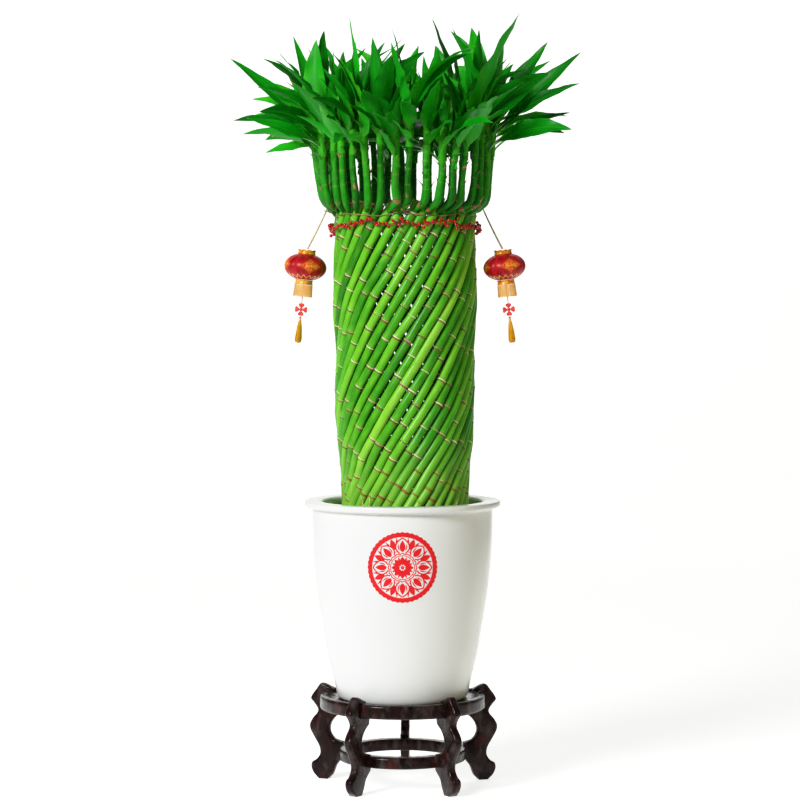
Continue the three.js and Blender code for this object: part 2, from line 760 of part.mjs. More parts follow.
for (let leg = 0; leg < LEG_TURNS.length; leg += 1) {
  const place = new THREE.Group();
  place.rotation.z = degrees(LEG_TURNS[leg]);
  addPiece(`stand_leg_${leg + 1}`, legGeometry(), darkLacquer, place);
}

// A lantern ornament is built upright round its own axis, and then leaned and set beside the cage.
function lanternOval() {
  const points = [];
  const steps = 6;
  for (let i = 0; i <= steps; i += 1) {
    const angle = degrees(between([-LANTERN_END, LANTERN_END], i / steps));
    points.push([LANTERN_BODY_RADIUS * Math.cos(angle), LANTERN_BODY_HALF * Math.sin(angle)]);
  }
  return points;
}

function knotGeometry(threadTop) {
  const petals = [];
  for (let i = 0; i < 4; i += 1) {
    const shape = new THREE.Shape();
    shape.moveTo(0, 0.6);
    shape.lineTo(3.9, 4.4);
    shape.lineTo(2.6, KNOT_REACH);
    shape.lineTo(-2.6, KNOT_REACH);
    shape.lineTo(-3.9, 4.4);
    const petal = new THREE.ExtrudeGeometry(shape, { depth: KNOT_DEPTH, bevelEnabled: false });
    petals.push(petal.translate(0, 0, -KNOT_DEPTH / 2).rotateZ((Math.PI / 2) * i)
      .rotateX(Math.PI / 2).translate(0, 0, -KNOT_DROP));
  }
  const heart = new THREE.BoxGeometry(5, 3.4, 5).rotateY(Math.PI / 4).translate(0, 0, -KNOT_DROP);
  const length = threadTop + KNOT_DROP;
  const thread = new THREE.CylinderGeometry(THREAD_RADIUS, THREAD_RADIUS, length, 6).rotateX(Math.PI / 2)
    .translate(0, 0, threadTop - length / 2);
  return joined([heart, thread, ...petals]);
}

function addLantern(side, sign) {
  const place = new THREE.Group();
  place.rotation.y = degrees(LANTERN_LEAN) * sign * -1;
  place.position.set(CAGE_SHIFT + sign * LANTERN_REACH, 0, LANTERN_HEIGHT);
  group.add(place);
  const seat = LANTERN_BODY_HALF * Math.sin(degrees(LANTERN_END));
  const body = [[0, -seat], ...lanternOval(), [0, seat]];
  addPiece(`lantern_${side}_body`, turned(body, LANTERN_SEGMENTS), redPaper, place);
  const topCap = [
    [0, seat + GAP], [CAP_RADIUS, seat + GAP], [CAP_RADIUS, seat + LANTERN_CAP],
    [0, seat + LANTERN_CAP],
  ];
  addPiece(`lantern_${side}_top_cap`, turned(topCap, LANTERN_SEGMENTS), goldFoil, place);
  const capFoot = -seat - GAP - LANTERN_CAP;
  const lowCap = [[0, capFoot], [CAP_RADIUS, capFoot], [CAP_RADIUS, -seat - GAP], [0, -seat - GAP]];
  addPiece(`lantern_${side}_bottom_cap`, turned(lowCap, LANTERN_SEGMENTS), goldFoil, place);
  const skirtTop = capFoot - GAP;
  const skirtFoot = skirtTop - SKIRT_LENGTH;
  const skirt = [
    [SKIRT_RADIUS - SKIRT_THICKNESS, skirtFoot], [SKIRT_RADIUS, skirtFoot], [CAP_RADIUS, skirtTop],
    [CAP_RADIUS - SKIRT_THICKNESS, skirtTop], [SKIRT_RADIUS - SKIRT_THICKNESS, skirtFoot],
  ];
  addPiece(`lantern_${side}_skirt`, turned(skirt, LANTERN_SEGMENTS), goldFoil, place);
  addPiece(`lantern_${side}_knot`, knotGeometry(skirtTop), redThread, place);
  const tasselTop = -KNOT_DROP - KNOT_REACH - GAP;
  const tassel = [
    [0, -TASSEL_FOOT], [4.5, -TASSEL_FOOT], [4.7, -TASSEL_FOOT + 5], [2.3, tasselTop - 8],
    [1.2, tasselTop - 7], [1.9, tasselTop - 5.2], [1, tasselTop - 3.6], [1.6, tasselTop - 1.8],
    [0, tasselTop],
  ];
  addPiece(`lantern_${side}_tassel`, turned(tassel, 6), goldThread, place);
  const stickFoot = new THREE.Vector3(0, 0, seat + LANTERN_CAP + GAP + STICK_RADIUS / 3);
  place.updateMatrixWorld(true);
  return stickFoot.applyMatrix4(place.matrixWorld);
}

// The stick runs straight from the middle of the top cap to its seat among the shoots. Its foot is
// slanted to the cap, so it stands a third of its radius higher than the gap.
function stickGeometry(from, to) {
  const along = to.clone().sub(from).normalize();
  const outward = new THREE.Vector3(0, 1, 0);
  return loopSolid([
    loopAt(from, along, outward, STICK_RADIUS, 6),
    loopAt(to, along, outward, STICK_RADIUS, 6),
  ]);
}

for (const [side, sign, turn, radius, height] of LANTERN_SIDES) {
  const stickFoot = addLantern(side, sign);
  const seat = ringPoint(radius, turn, height);
  addPiece(`lantern_${side}_stick`, stickGeometry(stickFoot, seat), tanStick);
}

export default group;
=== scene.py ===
import math

import bpy
import numpy as np
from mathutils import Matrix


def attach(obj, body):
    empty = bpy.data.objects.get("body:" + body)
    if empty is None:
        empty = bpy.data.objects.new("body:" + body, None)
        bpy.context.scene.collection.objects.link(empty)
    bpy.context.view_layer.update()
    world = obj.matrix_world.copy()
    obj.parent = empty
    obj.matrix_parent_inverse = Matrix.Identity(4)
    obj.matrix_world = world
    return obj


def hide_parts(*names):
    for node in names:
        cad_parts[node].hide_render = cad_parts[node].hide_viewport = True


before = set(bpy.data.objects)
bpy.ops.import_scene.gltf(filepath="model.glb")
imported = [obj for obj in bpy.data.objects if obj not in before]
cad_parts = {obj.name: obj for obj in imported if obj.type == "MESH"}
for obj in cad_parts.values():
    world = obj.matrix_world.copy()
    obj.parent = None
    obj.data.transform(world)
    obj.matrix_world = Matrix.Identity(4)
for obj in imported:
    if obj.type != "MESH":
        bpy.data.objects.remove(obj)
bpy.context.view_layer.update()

# Stand, the two rings
# Two turned rings of hardwood in dark red-brown lacquer. The upper one carries the pot inside a
# raised lip, and the lower one ties the legs together. Their edges are rubbed round before the
# lacquer goes on. Sizes here and below are in millimetres, in the object's own frame.

MM = 0.001
STAND_TOP = 110
UPPER_RING_BOTTOM = 93
UPPER_RING_OUTER = 101
UPPER_RING_LIP = 93
UPPER_RING_INNER = 68
SEAT_HEIGHT = 106.5
LOWER_RING_OUTER = 78
LOWER_RING_INNER = 62
LOWER_RING_BOTTOM = 29.5
LOWER_RING_TOP = 44
RING_SEGMENTS = 128
CORNER_STEPS = 4


def new_material(name, colour, roughness, **sockets):
    """A material with these constant values, its node tree and its surface shader."""
    material = bpy.data.materials.new(name)
    material.use_nodes = True
    shader = material.node_tree.nodes["Principled BSDF"]
    shader.inputs["Base Color"].default_value = (*colour, 1)
    shader.inputs["Roughness"].default_value = roughness
    for socket, value in sockets.items():
        shader.inputs[socket.replace("_", " ")].default_value = value
    return material, material.node_tree, shader


def add_node(tree, kind, inputs=None, **settings):
    """A node with its settings. An input is a number, a colour or another node's output."""
    node = tree.nodes.new(kind)
    for name, value in settings.items():
        setattr(node, name, value)
    for socket, value in (inputs or {}).items():
        if isinstance(value, bpy.types.NodeSocket):
            tree.links.new(value, node.inputs[socket])
        else:
            node.inputs[socket].default_value = value
    return node


def noise_over(tree, places, stretch, scale, detail, distortion):
    """Noise over places, stretched along an axis by a number below 1."""
    mapping = add_node(tree, "ShaderNodeMapping", {"Vector": places, "Scale": stretch})
    return add_node(tree, "ShaderNodeTexNoise", {
        "Vector": mapping.outputs["Vector"], "Scale": scale, "Detail": detail,
        "Distortion": distortion}).outputs["Fac"]


def own_place(tree):
    """Where a point lies in the object's own metres."""
    return add_node(tree, "ShaderNodeTexCoord").outputs["Object"]


def grain(tree, scale, detail=3, stretch=(1, 1, 1), distortion=0.0):
    """Noise in the object's own metres."""
    return noise_over(tree, own_place(tree), stretch, scale, detail, distortion)


def ramp(tree, value, *stops):
    """A run of colours over a value. Each stop is a place and a colour or a grey."""
    node = add_node(tree, "ShaderNodeValToRGB", {"Fac": value})
    elements = node.color_ramp.elements
    while len(elements) < len(stops):
        elements.new(1)
    for element, (place, colour) in zip(elements, stops):
        element.position = place
        element.color = (colour,) * 3 + (1,) if isinstance(colour, (int, float)) else (*colour, 1)
    return node.outputs["Color"]


def blend_colours(tree, share, first, second):
    """The first colour with a share of the second in it."""
    if isinstance(second, tuple):
        second = (*second, 1)
    return add_node(tree, "ShaderNodeMix", {0: share, 6: first, 7: second}, data_type="RGBA").outputs[2]


def layered(tree, colour, *layers):
    """A colour with others laid over it in turn, each with its share."""
    for share, over in layers:
        colour = blend_colours(tree, share, colour, over)
    return colour


def relief(tree, shader, height, depth_mm):
    """Fine relief of so many millimetres on the surface."""
    bump = add_node(tree, "ShaderNodeBump", {"Height": height, "Distance": depth_mm * MM})
    tree.links.new(bump.outputs["Normal"], shader.inputs["Normal"])


def dark_lacquer():
    """Thick glossy lacquer, nearly black with red in it, lumpy over the wood and rubbed grey in patches."""
    material, tree, shader = new_material(
        "dark_lacquer", (0.02, 0.006, 0.005), 0.22, IOR=1.35, Specular_Tint=(0.30, 0.27, 0.27, 1),
        Coat_Weight=0.15, Coat_IOR=1.4, Coat_Roughness=0.12)
    streaks = grain(tree, 110, 6, (1, 1, 0.4))
    wood = ramp(tree, streaks, (0.35, (0.003, 0.0012, 0.0013)), (0.55, (0.014, 0.0040, 0.0036)),
                (0.75, (0.050, 0.010, 0.008)))
    patches = ramp(tree, grain(tree, 90, 6, (1, 1, 0.6), distortion=0.3), (0.50, 0), (0.72, 1))
    rubbed = blend_colours(tree, 0.5, wood, (0.088, 0.074, 0.070))
    tree.links.new(blend_colours(tree, patches, wood, rubbed), shader.inputs["Base Color"])
    dulled = ramp(tree, grain(tree, 120, 4), (0.4, 0.16), (0.7, 0.42))
    tree.links.new(dulled, shader.inputs["Roughness"])
    relief(tree, shader, grain(tree, 110, 3), 0.5)
    return material


def rounded(outline, radii, closed=True):
    """An outline of points with each corner turned into an arc of its own radius."""
    points = np.array(outline, float)
    count = len(points)
    result = []
    for i in range(count):
        corner = points[i]
        if not closed and i in (0, count - 1) or radii[i] == 0:
            result.append(corner)
            continue
        before = points[i - 1] - corner
        after = points[(i + 1) % count] - corner
        reach = min(radii[i], np.linalg.norm(before) * 0.48, np.linalg.norm(after) * 0.48)
        start = corner + before / np.linalg.norm(before) * reach
        end = corner + after / np.linalg.norm(after) * reach
        for part in np.arange(CORNER_STEPS + 1) / CORNER_STEPS:
            result.append((1 - part) ** 2 * start + 2 * part * (1 - part) * corner + part ** 2 * end)
    return np.array(result)


def turned(profile, segments, closed=True):
    """Points and faces of a profile of radius and height turned round the upright axis."""
    angles = np.arange(segments) * 2 * math.pi / segments
    rings = len(profile)
    radius, height = profile[:, 0], profile[:, 1]
    points = np.stack([np.outer(np.cos(angles), radius), np.outer(np.sin(angles), radius),
                       np.tile(height, (segments, 1))], axis=2).reshape(-1, 3)
    faces = []
    for i in range(segments):
        j = (i + 1) % segments
        for k in range(rings if closed else rings - 1):
            m = (k + 1) % rings
            faces.append((i * rings + k, j * rings + k, j * rings + m, i * rings + m))
    return points, faces


def add_piece(name, parts, replaced=(), sharp=40):
    """One piece of the object. Each part is its points, faces, material and named marks on its points."""
    points = np.concatenate([part[0] for part in parts]) * MM
    faces, kinds, materials = [], [], []
    marks = {}
    first = 0
    for places, part_faces, material, part_marks in parts:
        if material not in materials:
            materials.append(material)
        faces += [tuple(first + corner for corner in face) for face in part_faces]
        kinds += [materials.index(material)] * len(part_faces)
        for mark, values in part_marks.items():
            shape = (len(points),) + np.shape(values)[1:]
            marks.setdefault(mark, np.zeros(shape, np.float32))[first:first + len(places)] = values
        first += len(places)
    mesh = bpy.data.meshes.new(name)
    mesh.from_pydata(points.tolist(), [], faces)
    for material in materials:
        mesh.materials.append(material)
    mesh.polygons.foreach_set("material_index", kinds)
    for mark, values in marks.items():
        if values.ndim == 1:
            mesh.attributes.new(mark, "FLOAT", "POINT").data.foreach_set("value", values)
        else:
            mesh.attributes.new(mark, "FLOAT_VECTOR", "POINT").data.foreach_set("vector", values.ravel())
    mesh.validate()
    mesh.shade_smooth()
    mesh.set_sharp_from_angle(angle=math.radians(sharp))
    piece = bpy.data.objects.new(name, mesh)
    bpy.context.collection.objects.link(piece)
    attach(piece, "root")
    if replaced:
        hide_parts(*replaced)


lacquer = dark_lacquer()
upper_ring = rounded(
    [(UPPER_RING_INNER, UPPER_RING_BOTTOM), (UPPER_RING_OUTER, UPPER_RING_BOTTOM),
     (UPPER_RING_OUTER, STAND_TOP), (UPPER_RING_LIP, STAND_TOP), (UPPER_RING_LIP, SEAT_HEIGHT),
     (UPPER_RING_INNER, SEAT_HEIGHT)], (2, 4, 4, 3, 0.6, 2))
lower_ring = rounded(
    [(LOWER_RING_INNER, LOWER_RING_BOTTOM), (LOWER_RING_OUTER, LOWER_RING_BOTTOM),
     (LOWER_RING_OUTER, LOWER_RING_TOP), (LOWER_RING_INNER, LOWER_RING_TOP)], (2.5, 4, 4, 2.5))
for ring_name, ring_profile in (("upper_ring", upper_ring), ("lower_ring", lower_ring)):
    add_piece(f"{ring_name}_lacquered", [(*turned(ring_profile, RING_SEGMENTS), lacquer, {})],
              [f"stand_{ring_name}"])

# Stand, the legs
# Five boards, each sawn to one scrolled outline and notched to grip both rings, a little unevenly
# spread. The outer edges are rubbed round, so that the lacquer gathers and shines along them.

LEG_TURNS = (-56, 16, 88, 160, 237)
LEG_THICKNESS = 11
LEG_EDGE = 3.4
NOTCH_EDGE = 0.3
EDGE_STEPS = 4
# The leg's outline in stretches, as distance from the axis and height. Curved ones swing through
# their points, and straight ones are the sole and the notches.
LEG_STRETCHES = [
    ("straight", [(97, 0), (108, 0)]),
    ("curved", [(115, 5), (119, 13), (118, 20), (112, 24), (107.5, 31), (108.5, 40), (115, 51), (120, 60),
                (121, 67), (117, 75), (111, 82), (110.5, 87), (115, 93.5), (119.5, 99), (117, 105),
                (112, 111.5), (107, 118), (102, 118.5), (95, 115.6)]),
    ("straight", [(89, 112.5), (89, 110.3), (101.3, 110.3), (101.3, 92.7), (80, 92.7)]),
    ("curved", [(79.5, 84), (88, 77), (94, 68), (94.5, 58), (88, 50)]),
    ("straight", [(78.3, 47), (78.3, 28)]),
    ("curved", [(86, 18), (91, 6)]),
]


def swung(before, points, after, steps=4):
    """A smooth line through points, between its neighbours before and after."""
    line = np.array([before, *points, after], float)
    result = []
    for i in range(1, len(line) - 1):
        result.append(line[i])
        if i == len(line) - 2:
            break
        p0, p1, p2, p3 = line[i - 1], line[i], line[i + 1], line[i + 2]
        for step in range(1, steps):
            t = step / steps
            result.append(0.5 * (2 * p1 + (p2 - p0) * t + (2 * p0 - 5 * p1 + 4 * p2 - p3) * t ** 2
                                 + (3 * p1 - p0 - 3 * p2 + p3) * t ** 3))
    return result


def leg_outline():
    """The outline's points, and how far the edge is rubbed round at each."""
    corners = [points for _, points in LEG_STRETCHES]
    outline, edges = [], []
    for i, (way, points) in enumerate(LEG_STRETCHES):
        if way == "curved":
            points = swung(corners[i - 1][-1], points, corners[(i + 1) % len(corners)][0])
        outline += list(points)
        edges += [LEG_EDGE if way == "curved" else NOTCH_EDGE] * len(points)
    return np.array(outline, float), np.array(edges)


def lofted(rings):
    """Points and faces of a closed skin over rings of points, with the first and the last as its ends."""
    rings = np.asarray(rings, float)
    count, sides = rings.shape[:2]
    faces = [tuple(range(sides))[::-1], tuple(range((count - 1) * sides, count * sides))]
    for i in range(count - 1):
        for j in range(sides):
            a, b = i * sides + j, i * sides + (j + 1) % sides
            faces.append((a, b, b + sides, a + sides))
    return rings.reshape(-1, 3), faces


def leg_board(turn):
    """A leg board with both its edges rubbed round, turned to its place on the rings."""
    outline, edges = leg_outline()
    ways = np.roll(outline, -1, 0) - np.roll(outline, 1, 0)
    inward = np.stack([-ways[:, 1], ways[:, 0]], 1)
    inward /= np.linalg.norm(inward, axis=1)[:, None]
    layers = []
    for face in (-1, 1):
        for step in range(EDGE_STEPS + 1)[::-face]:
            angle = math.pi / 2 * step / EDGE_STEPS
            inset = edges * (1 - math.sin(angle))
            depth = face * (LEG_THICKNESS / 2 - edges * (1 - math.cos(angle)))
            layers.append(np.column_stack([outline + inward * inset[:, None], depth]))
    points, faces = lofted(layers)
    reach, height, depth = points.T
    cos, sin = math.cos(turn), math.sin(turn)
    return np.column_stack([reach * cos + depth * sin, reach * sin - depth * cos, height]), faces


for leg, leg_turn in enumerate(LEG_TURNS, start=1):
    add_piece(f"leg_board_{leg}", [(*leg_board(math.radians(leg_turn)), lacquer, {})],
              [f"stand_leg_{leg}"], sharp=50)

# Pot
# A round ceramic pot, slip-cast with a broad flat rim and a body that tapers to its foot, and dipped
# in white glaze. The glaze is thick and smooth, softly shiny, with a few pinholes.

POT_BOTTOM = 106.8
POT_TOP = 348
RIM_RADIUS = 119.5
MOUTH_RADIUS = 96
POT_FLOOR = POT_BOTTOM + 12
WALL_FOOT_RADIUS = 75
WALL_TOP_RADIUS = 101
WALL_TOP = POT_TOP - 14
POT_BODY = [(79.5, POT_BOTTOM), (84.5, 132), (91.5, 162), (97.6, 199), (103.7, 237), (107.4, 271),
            (109.5, 305), (110, POT_TOP - 9)]
POT_SEGMENTS = 160


def white_glaze():
    """White glaze with a faint flow and a few pinholes in it."""
    material, tree, shader = new_material(
        "white_glaze", (0.88, 0.885, 0.88), 0.25, Specular_IOR_Level=0.35, Coat_Weight=0.1,
        Coat_Roughness=0.14)
    cloud = grain(tree, 7, 2)
    white = ramp(tree, cloud, (0.3, (0.83, 0.833, 0.82)), (0.7, (0.85, 0.852, 0.84)))
    specks = ramp(tree, grain(tree, 420, 2), (0.76, 0), (0.82, 0.7))
    tree.links.new(blend_colours(tree, specks, white, (0.66, 0.62, 0.54)), shader.inputs["Base Color"])
    tree.links.new(ramp(tree, grain(tree, 30, 3), (0.35, 0.22), (0.65, 0.27)), shader.inputs["Roughness"])
    relief(tree, shader, grain(tree, 18, 1), 0.05)
    return material


def pot_side():
    """The pot's outside, from its foot to just under the rim, as radius and height."""
    return swung((79.0, POT_BOTTOM - 20), POT_BODY, (110, POT_TOP), steps=5)


def pot_profile():
    """The pot's section, from the middle of its foot up the outside, over the rim and down inside."""
    body = pot_side()
    outline = [(0, POT_BOTTOM), (77, POT_BOTTOM), *map(tuple, body[1:]),
               (RIM_RADIUS, POT_TOP - 7), (RIM_RADIUS, POT_TOP), (MOUTH_RADIUS, POT_TOP),
               (WALL_TOP_RADIUS, WALL_TOP), (WALL_FOOT_RADIUS, POT_FLOOR), (0, POT_FLOOR)]
    radii = [0, 2.5, *[0] * (len(body) - 2), 1.6, 2.6, 2.6, 7, 5, 8, 0]
    return rounded(outline, radii, closed=False)


add_piece("pot_glazed", [(*turned(pot_profile(), POT_SEGMENTS, closed=False), white_glaze(), {})],
          ["pot"])

# Pot, the printed roundel
# A red roundel on the pot's front: a scalloped band round a small flower and a large one, each with
# eight petals. It is a film of ceramic ink, laid on the glaze and fired onto it.

ROUNDEL_HEIGHT = 276
ROUNDEL_BAND = (36.2, 40.2)
SCALLOP_COUNT = 44
SCALLOP_DEPTH = 2.3
PETAL_COUNT = 8
# Half a large petal, as distance from the middle and turn from the petal's own axis.
PETAL_EDGE = [(17.4, 0.20), (20.5, 0.31), (24.5, 0.34), (28.5, 0.28), (32.5, 0.14), (35.4, 0.0)]
EDGE_POINTS = 26
RING_POINTS = 96
STROKE_POINTS = 14
POINTS_ACROSS = 5
FILM_LIFT = 0.12


def grained_material(name, colour, roughness, colour_grain, stops, bumps=None, depth_mm=0, **sockets):
    """A material with a run of colours over one grain, and fine relief from another."""
    material, tree, shader = new_material(name, colour, roughness, **sockets)
    tree.links.new(ramp(tree, grain(tree, *colour_grain), *stops), shader.inputs["Base Color"])
    if bumps:
        relief(tree, shader, grain(tree, *bumps), depth_mm)
    return material


def on_pot(across, up):
    """Flat places of the print, in millimetres from its middle, laid on the front of the pot."""
    side = np.array(pot_side())
    height = ROUNDEL_HEIGHT + up
    radius = np.interp(height, side[:, 1], side[:, 0]) + FILM_LIFT
    angle = across / radius - math.pi / 2
    return np.stack([radius * np.cos(angle), radius * np.sin(angle), height], axis=-1)


def inked(line, widths, closed=False):
    """A flat stroke of the print along a line, as wide as it says at each point."""
    line = np.asarray(line, float)
    if closed:
        ways = np.roll(line, -1, 0) - np.roll(line, 1, 0)
    else:
        ways = np.gradient(line, axis=0)
    ways /= np.linalg.norm(ways, axis=1)[:, None]
    side = np.stack([-ways[:, 1], ways[:, 0]], axis=1)
    across = np.linspace(-0.5, 0.5, POINTS_ACROSS)
    flat = line[:, None] + side[:, None] * (np.asarray(widths)[:, None] * across)[..., None]
    points = on_pot(flat[..., 0], flat[..., 1]).reshape(-1, 3)
    count = len(line)
    faces = []
    for i in range(count if closed else count - 1):
        for j in range(POINTS_ACROSS - 1):
            a, b = i * POINTS_ACROSS + j, (i + 1) % count * POINTS_ACROSS + j
            faces.append((a, a + 1, b + 1, b))
    return points, faces


def polar(radius, turn):
    return np.stack(np.broadcast_arrays(radius * np.sin(turn), radius * np.cos(turn)), axis=-1)


def leaf_stroke(start, end, width, bow=0.0):
    """A pointed leaf from a start to an end, both as radius and turn, bowed to one side."""
    start, end = polar(*start), polar(*end)
    part = np.linspace(0, 1, STROKE_POINTS)[:, None]
    side = np.array([-(end - start)[1], (end - start)[0]])
    line = start + (end - start) * part + side * bow * np.sin(math.pi * part)
    return line, np.maximum(width * np.sin(math.pi * part[:, 0] ** 0.8) ** 0.8, 0.12)


def roundel_strokes():
    """All the strokes of the print: the band, the rings, and the petals, veins and drops."""
    around = np.linspace(0, 2 * math.pi, 12 * SCALLOP_COUNT, endpoint=False)
    inner, outer = ROUNDEL_BAND
    outer = outer + SCALLOP_DEPTH * np.abs(np.cos(around * SCALLOP_COUNT / 2)) ** 0.8
    strokes = [(polar((inner + outer) / 2, around), outer - inner, True)]
    ring = np.linspace(0, 2 * math.pi, RING_POINTS, endpoint=False)
    for radius, width in ((1.2, 1.9), (14.3, 1.0), (16.6 + 0.5 * np.cos(16 * ring), 1.3)):
        strokes.append((polar(radius, ring), np.full(RING_POINTS, width), True))
    reach, open_turn = np.array(PETAL_EDGE).T
    steps = np.linspace(reach[0], reach[-1], EDGE_POINTS)
    petal_turn = np.interp(steps, reach, open_turn)
    petal_turn[1:-1] = (petal_turn[:-2] + 2 * petal_turn[1:-1] + petal_turn[2:]) / 4
    for petal in range(PETAL_COUNT):
        turn = petal * 2 * math.pi / PETAL_COUNT
        half = turn + math.pi / PETAL_COUNT
        for middle, inside, outside, width in (
                (turn, 3.0, 13.2, 6.6), (half, 8.4, 13.4, 2.2), (turn, 18.6, 32.6, 7.0),
                (half, 23.0, 36.4, 7.0)):
            strokes.append(leaf_stroke((inside, middle), (outside, middle), width))
        for way in (-1, 1):
            vein = turn + way * 0.17
            strokes += [
                (polar(steps, turn + way * petal_turn), np.full(EDGE_POINTS, 1.6)),
                leaf_stroke((20.5, vein), (29.5, vein), 1.5, way * -0.08),
                leaf_stroke((30.5, half - way * 0.13), (36.2, half - way * 0.20), 1.9, way * 0.10),
                leaf_stroke((19.2, half - way * 0.02), (24.0, half - way * 0.07), 1.1, way * 0.10)]
    return strokes


# Bright ceramic red, a little thin and pinkish where the ink ran out.
ink = grained_material(
    "print_red", (0.84, 0.010, 0.016), 0.3, (300, 4),
    [(0.3, (0.86, 0.011, 0.017)), (0.6, (0.78, 0.006, 0.012)), (0.8, (0.86, 0.045, 0.052))],
    (26, 2), 0.35, Specular_IOR_Level=0.3, Coat_Weight=0.12, Coat_Roughness=0.14)
add_piece("roundel_print", [(*inked(*stroke), ink, {}) for stroke in roundel_strokes()])

# Growing medium
# Damp bark and coir, pressed round the rooted canes to 50 mm under the rim. Its top is rough, with
# loose chips of bark lying on it and a few dry leaf sheaths standing in it.

SOIL_TOP = 297
SOIL_ROUGHNESS = 3.2
CHIP_COUNT = 520
CHIP_SEED = 4
SOIL_SEGMENTS = 96
# Dry sheaths: across, distance from the axis, lean, height and width.
STRAW_BLADES = ((-43.2, 78, -6.8, 71, 3.4), (-40.8, 78.5, 2.4, 72, 3.2), (57.7, 63, 9.6, 65, 2.8),
                (-84, 20, -3, 60, 2.0), (30, 86, -6, 58, 1.8), (-12, 84, 8, 56, 2.0))


def soil_body():
    """The medium's body, tapered as the pot is, under a rough top."""
    draw = np.random.default_rng(CHIP_SEED)
    part = (SOIL_TOP - POT_FLOOR) / (WALL_TOP - POT_FLOOR)
    top_radius = WALL_FOOT_RADIUS + (WALL_TOP_RADIUS - WALL_FOOT_RADIUS) * part - 0.5
    radii = np.linspace(0, top_radius, 40)
    profile = np.array([(0, POT_FLOOR + 0.3), (WALL_FOOT_RADIUS - 0.5, POT_FLOOR + 0.3),
                        *[(radius, SOIL_TOP) for radius in radii[::-1]]])
    points, faces = turned(profile, SOIL_SEGMENTS, closed=False)
    on_top = (points[:, 2] > SOIL_TOP - 1) & (np.hypot(points[:, 0], points[:, 1]) > 1)
    points[on_top, 2] += draw.uniform(-SOIL_ROUGHNESS, 0.3 * SOIL_ROUGHNESS, on_top.sum())
    return points, faces


def bark_chips():
    """Loose flat chips, each a squashed box with uneven corners, scattered over the top."""
    draw = np.random.default_rng(CHIP_SEED + 1)
    corners = np.array([(x, y, z) for z in (-1, 1) for y in (-1, 1) for x in (-1, 1)], float)
    box_faces = [(0, 2, 3, 1), (4, 5, 7, 6), (0, 1, 5, 4), (2, 6, 7, 3), (0, 4, 6, 2), (1, 3, 7, 5)]
    points, faces = [], []
    for chip in range(CHIP_COUNT):
        size = draw.uniform((2.0, 1.0, 0.4), (5.5, 2.6, 1.1))
        shape = corners * size * draw.uniform(0.65, 1.0, (8, 1))
        turn, tip = draw.uniform(0, math.pi), draw.uniform(-0.35, 0.35)
        shape[:, 2] += shape[:, 0] * math.tan(tip)
        cos, sin = math.cos(turn), math.sin(turn)
        shape = shape @ np.array([(cos, sin, 0), (-sin, cos, 0), (0, 0, 1)])
        reach, way = 92 * math.sqrt(draw.uniform(0, 1)), draw.uniform(0, 2 * math.pi)
        shape += (reach * math.cos(way), reach * math.sin(way), SOIL_TOP + draw.uniform(-0.6, 0.8))
        faces += [tuple(8 * chip + corner for corner in face) for face in box_faces]
        points.append(shape)
    return np.concatenate(points), faces


def straw_parts(straw):
    """Thin folded strips that stand out of the medium in front of the canes."""
    stations = np.linspace(0, 1, 12)
    parts = []
    for across, away, lean, height, width in STRAW_BLADES:
        half = width / 2 * (1 - 0.85 * stations ** 3)
        middle = np.column_stack([
            across + lean * stations ** 3, -away - 1.5 * np.sin(math.pi * stations),
            SOIL_TOP - 8 + height * stations])
        rings = [[centre + (-reach, 0.3, 0), centre + (0, -0.25, 0), centre + (reach, 0.3, 0),
                  centre + (0, 0.25, 0)] for centre, reach in zip(middle, half)]
        parts.append((*lofted(rings), straw, {}))
    return parts


# Damp crumbs of bark, nearly black in the gaps and red-brown where they dry.
bark = grained_material(
    "dark_bark", (0.05, 0.03, 0.02), 0.9, (260, 6),
    [(0.35, (0.012, 0.007, 0.005)), (0.55, (0.055, 0.030, 0.016)), (0.72, (0.16, 0.085, 0.045))],
    (420, 5), 1.2)
# Dead leaf sheaths, dry and pale, with brown lines along them.
straw = grained_material(
    "dry_straw", (0.62, 0.46, 0.20), 0.6, (900, 3, (1, 1, 0.1)),
    [(0.35, (0.46, 0.26, 0.07)), (0.5, (0.74, 0.60, 0.24)), (0.7, (0.86, 0.80, 0.48))],
    (900, 2, (1, 1, 0.1)), 0.2)
add_piece("growing_medium", [(*soil_body(), bark, {}), (*bark_chips(), bark, {}), *straw_parts(straw)],
          ["soil"])

# Canes
# Thirty-six rooted canes stand in one ring and are trained round a form while they grow, all
# leaning the same way, until they hold each other as an open twisted cylinder. Each has a smooth
# waxy skin, a pale raised scar round every joint, and a flat brown cut at its top.

STALK_COUNT = 36
CAGE_SHIFT = 3
CANE_BOTTOM = 240
CANE_TOP = (700, 707)
CANE_RADIUS = 5.65
JOINT_RISE = 45
JOINT_WANDER = 15
WIDE_INTERNODE = 38
SPLIT_SHARE = 0.3
LOWEST_JOINT = 356
LOWEST_SCAR = 335
JOINTLESS_TOP = 9
GOLDEN_PART = 0.381966
TWIST_HEIGHT = 658
TWIST_RATE = 0.405
TWIST_GAIN = 0.0001136
CAGE_PROFILE = np.array([
    (240, 77), (297, 74), (350, 72.4), (380, 72.6), (425, 77.5), (470, 80), (530, 79), (600, 82.5),
    (645, 81), (680, 80.5), (720, 81)])
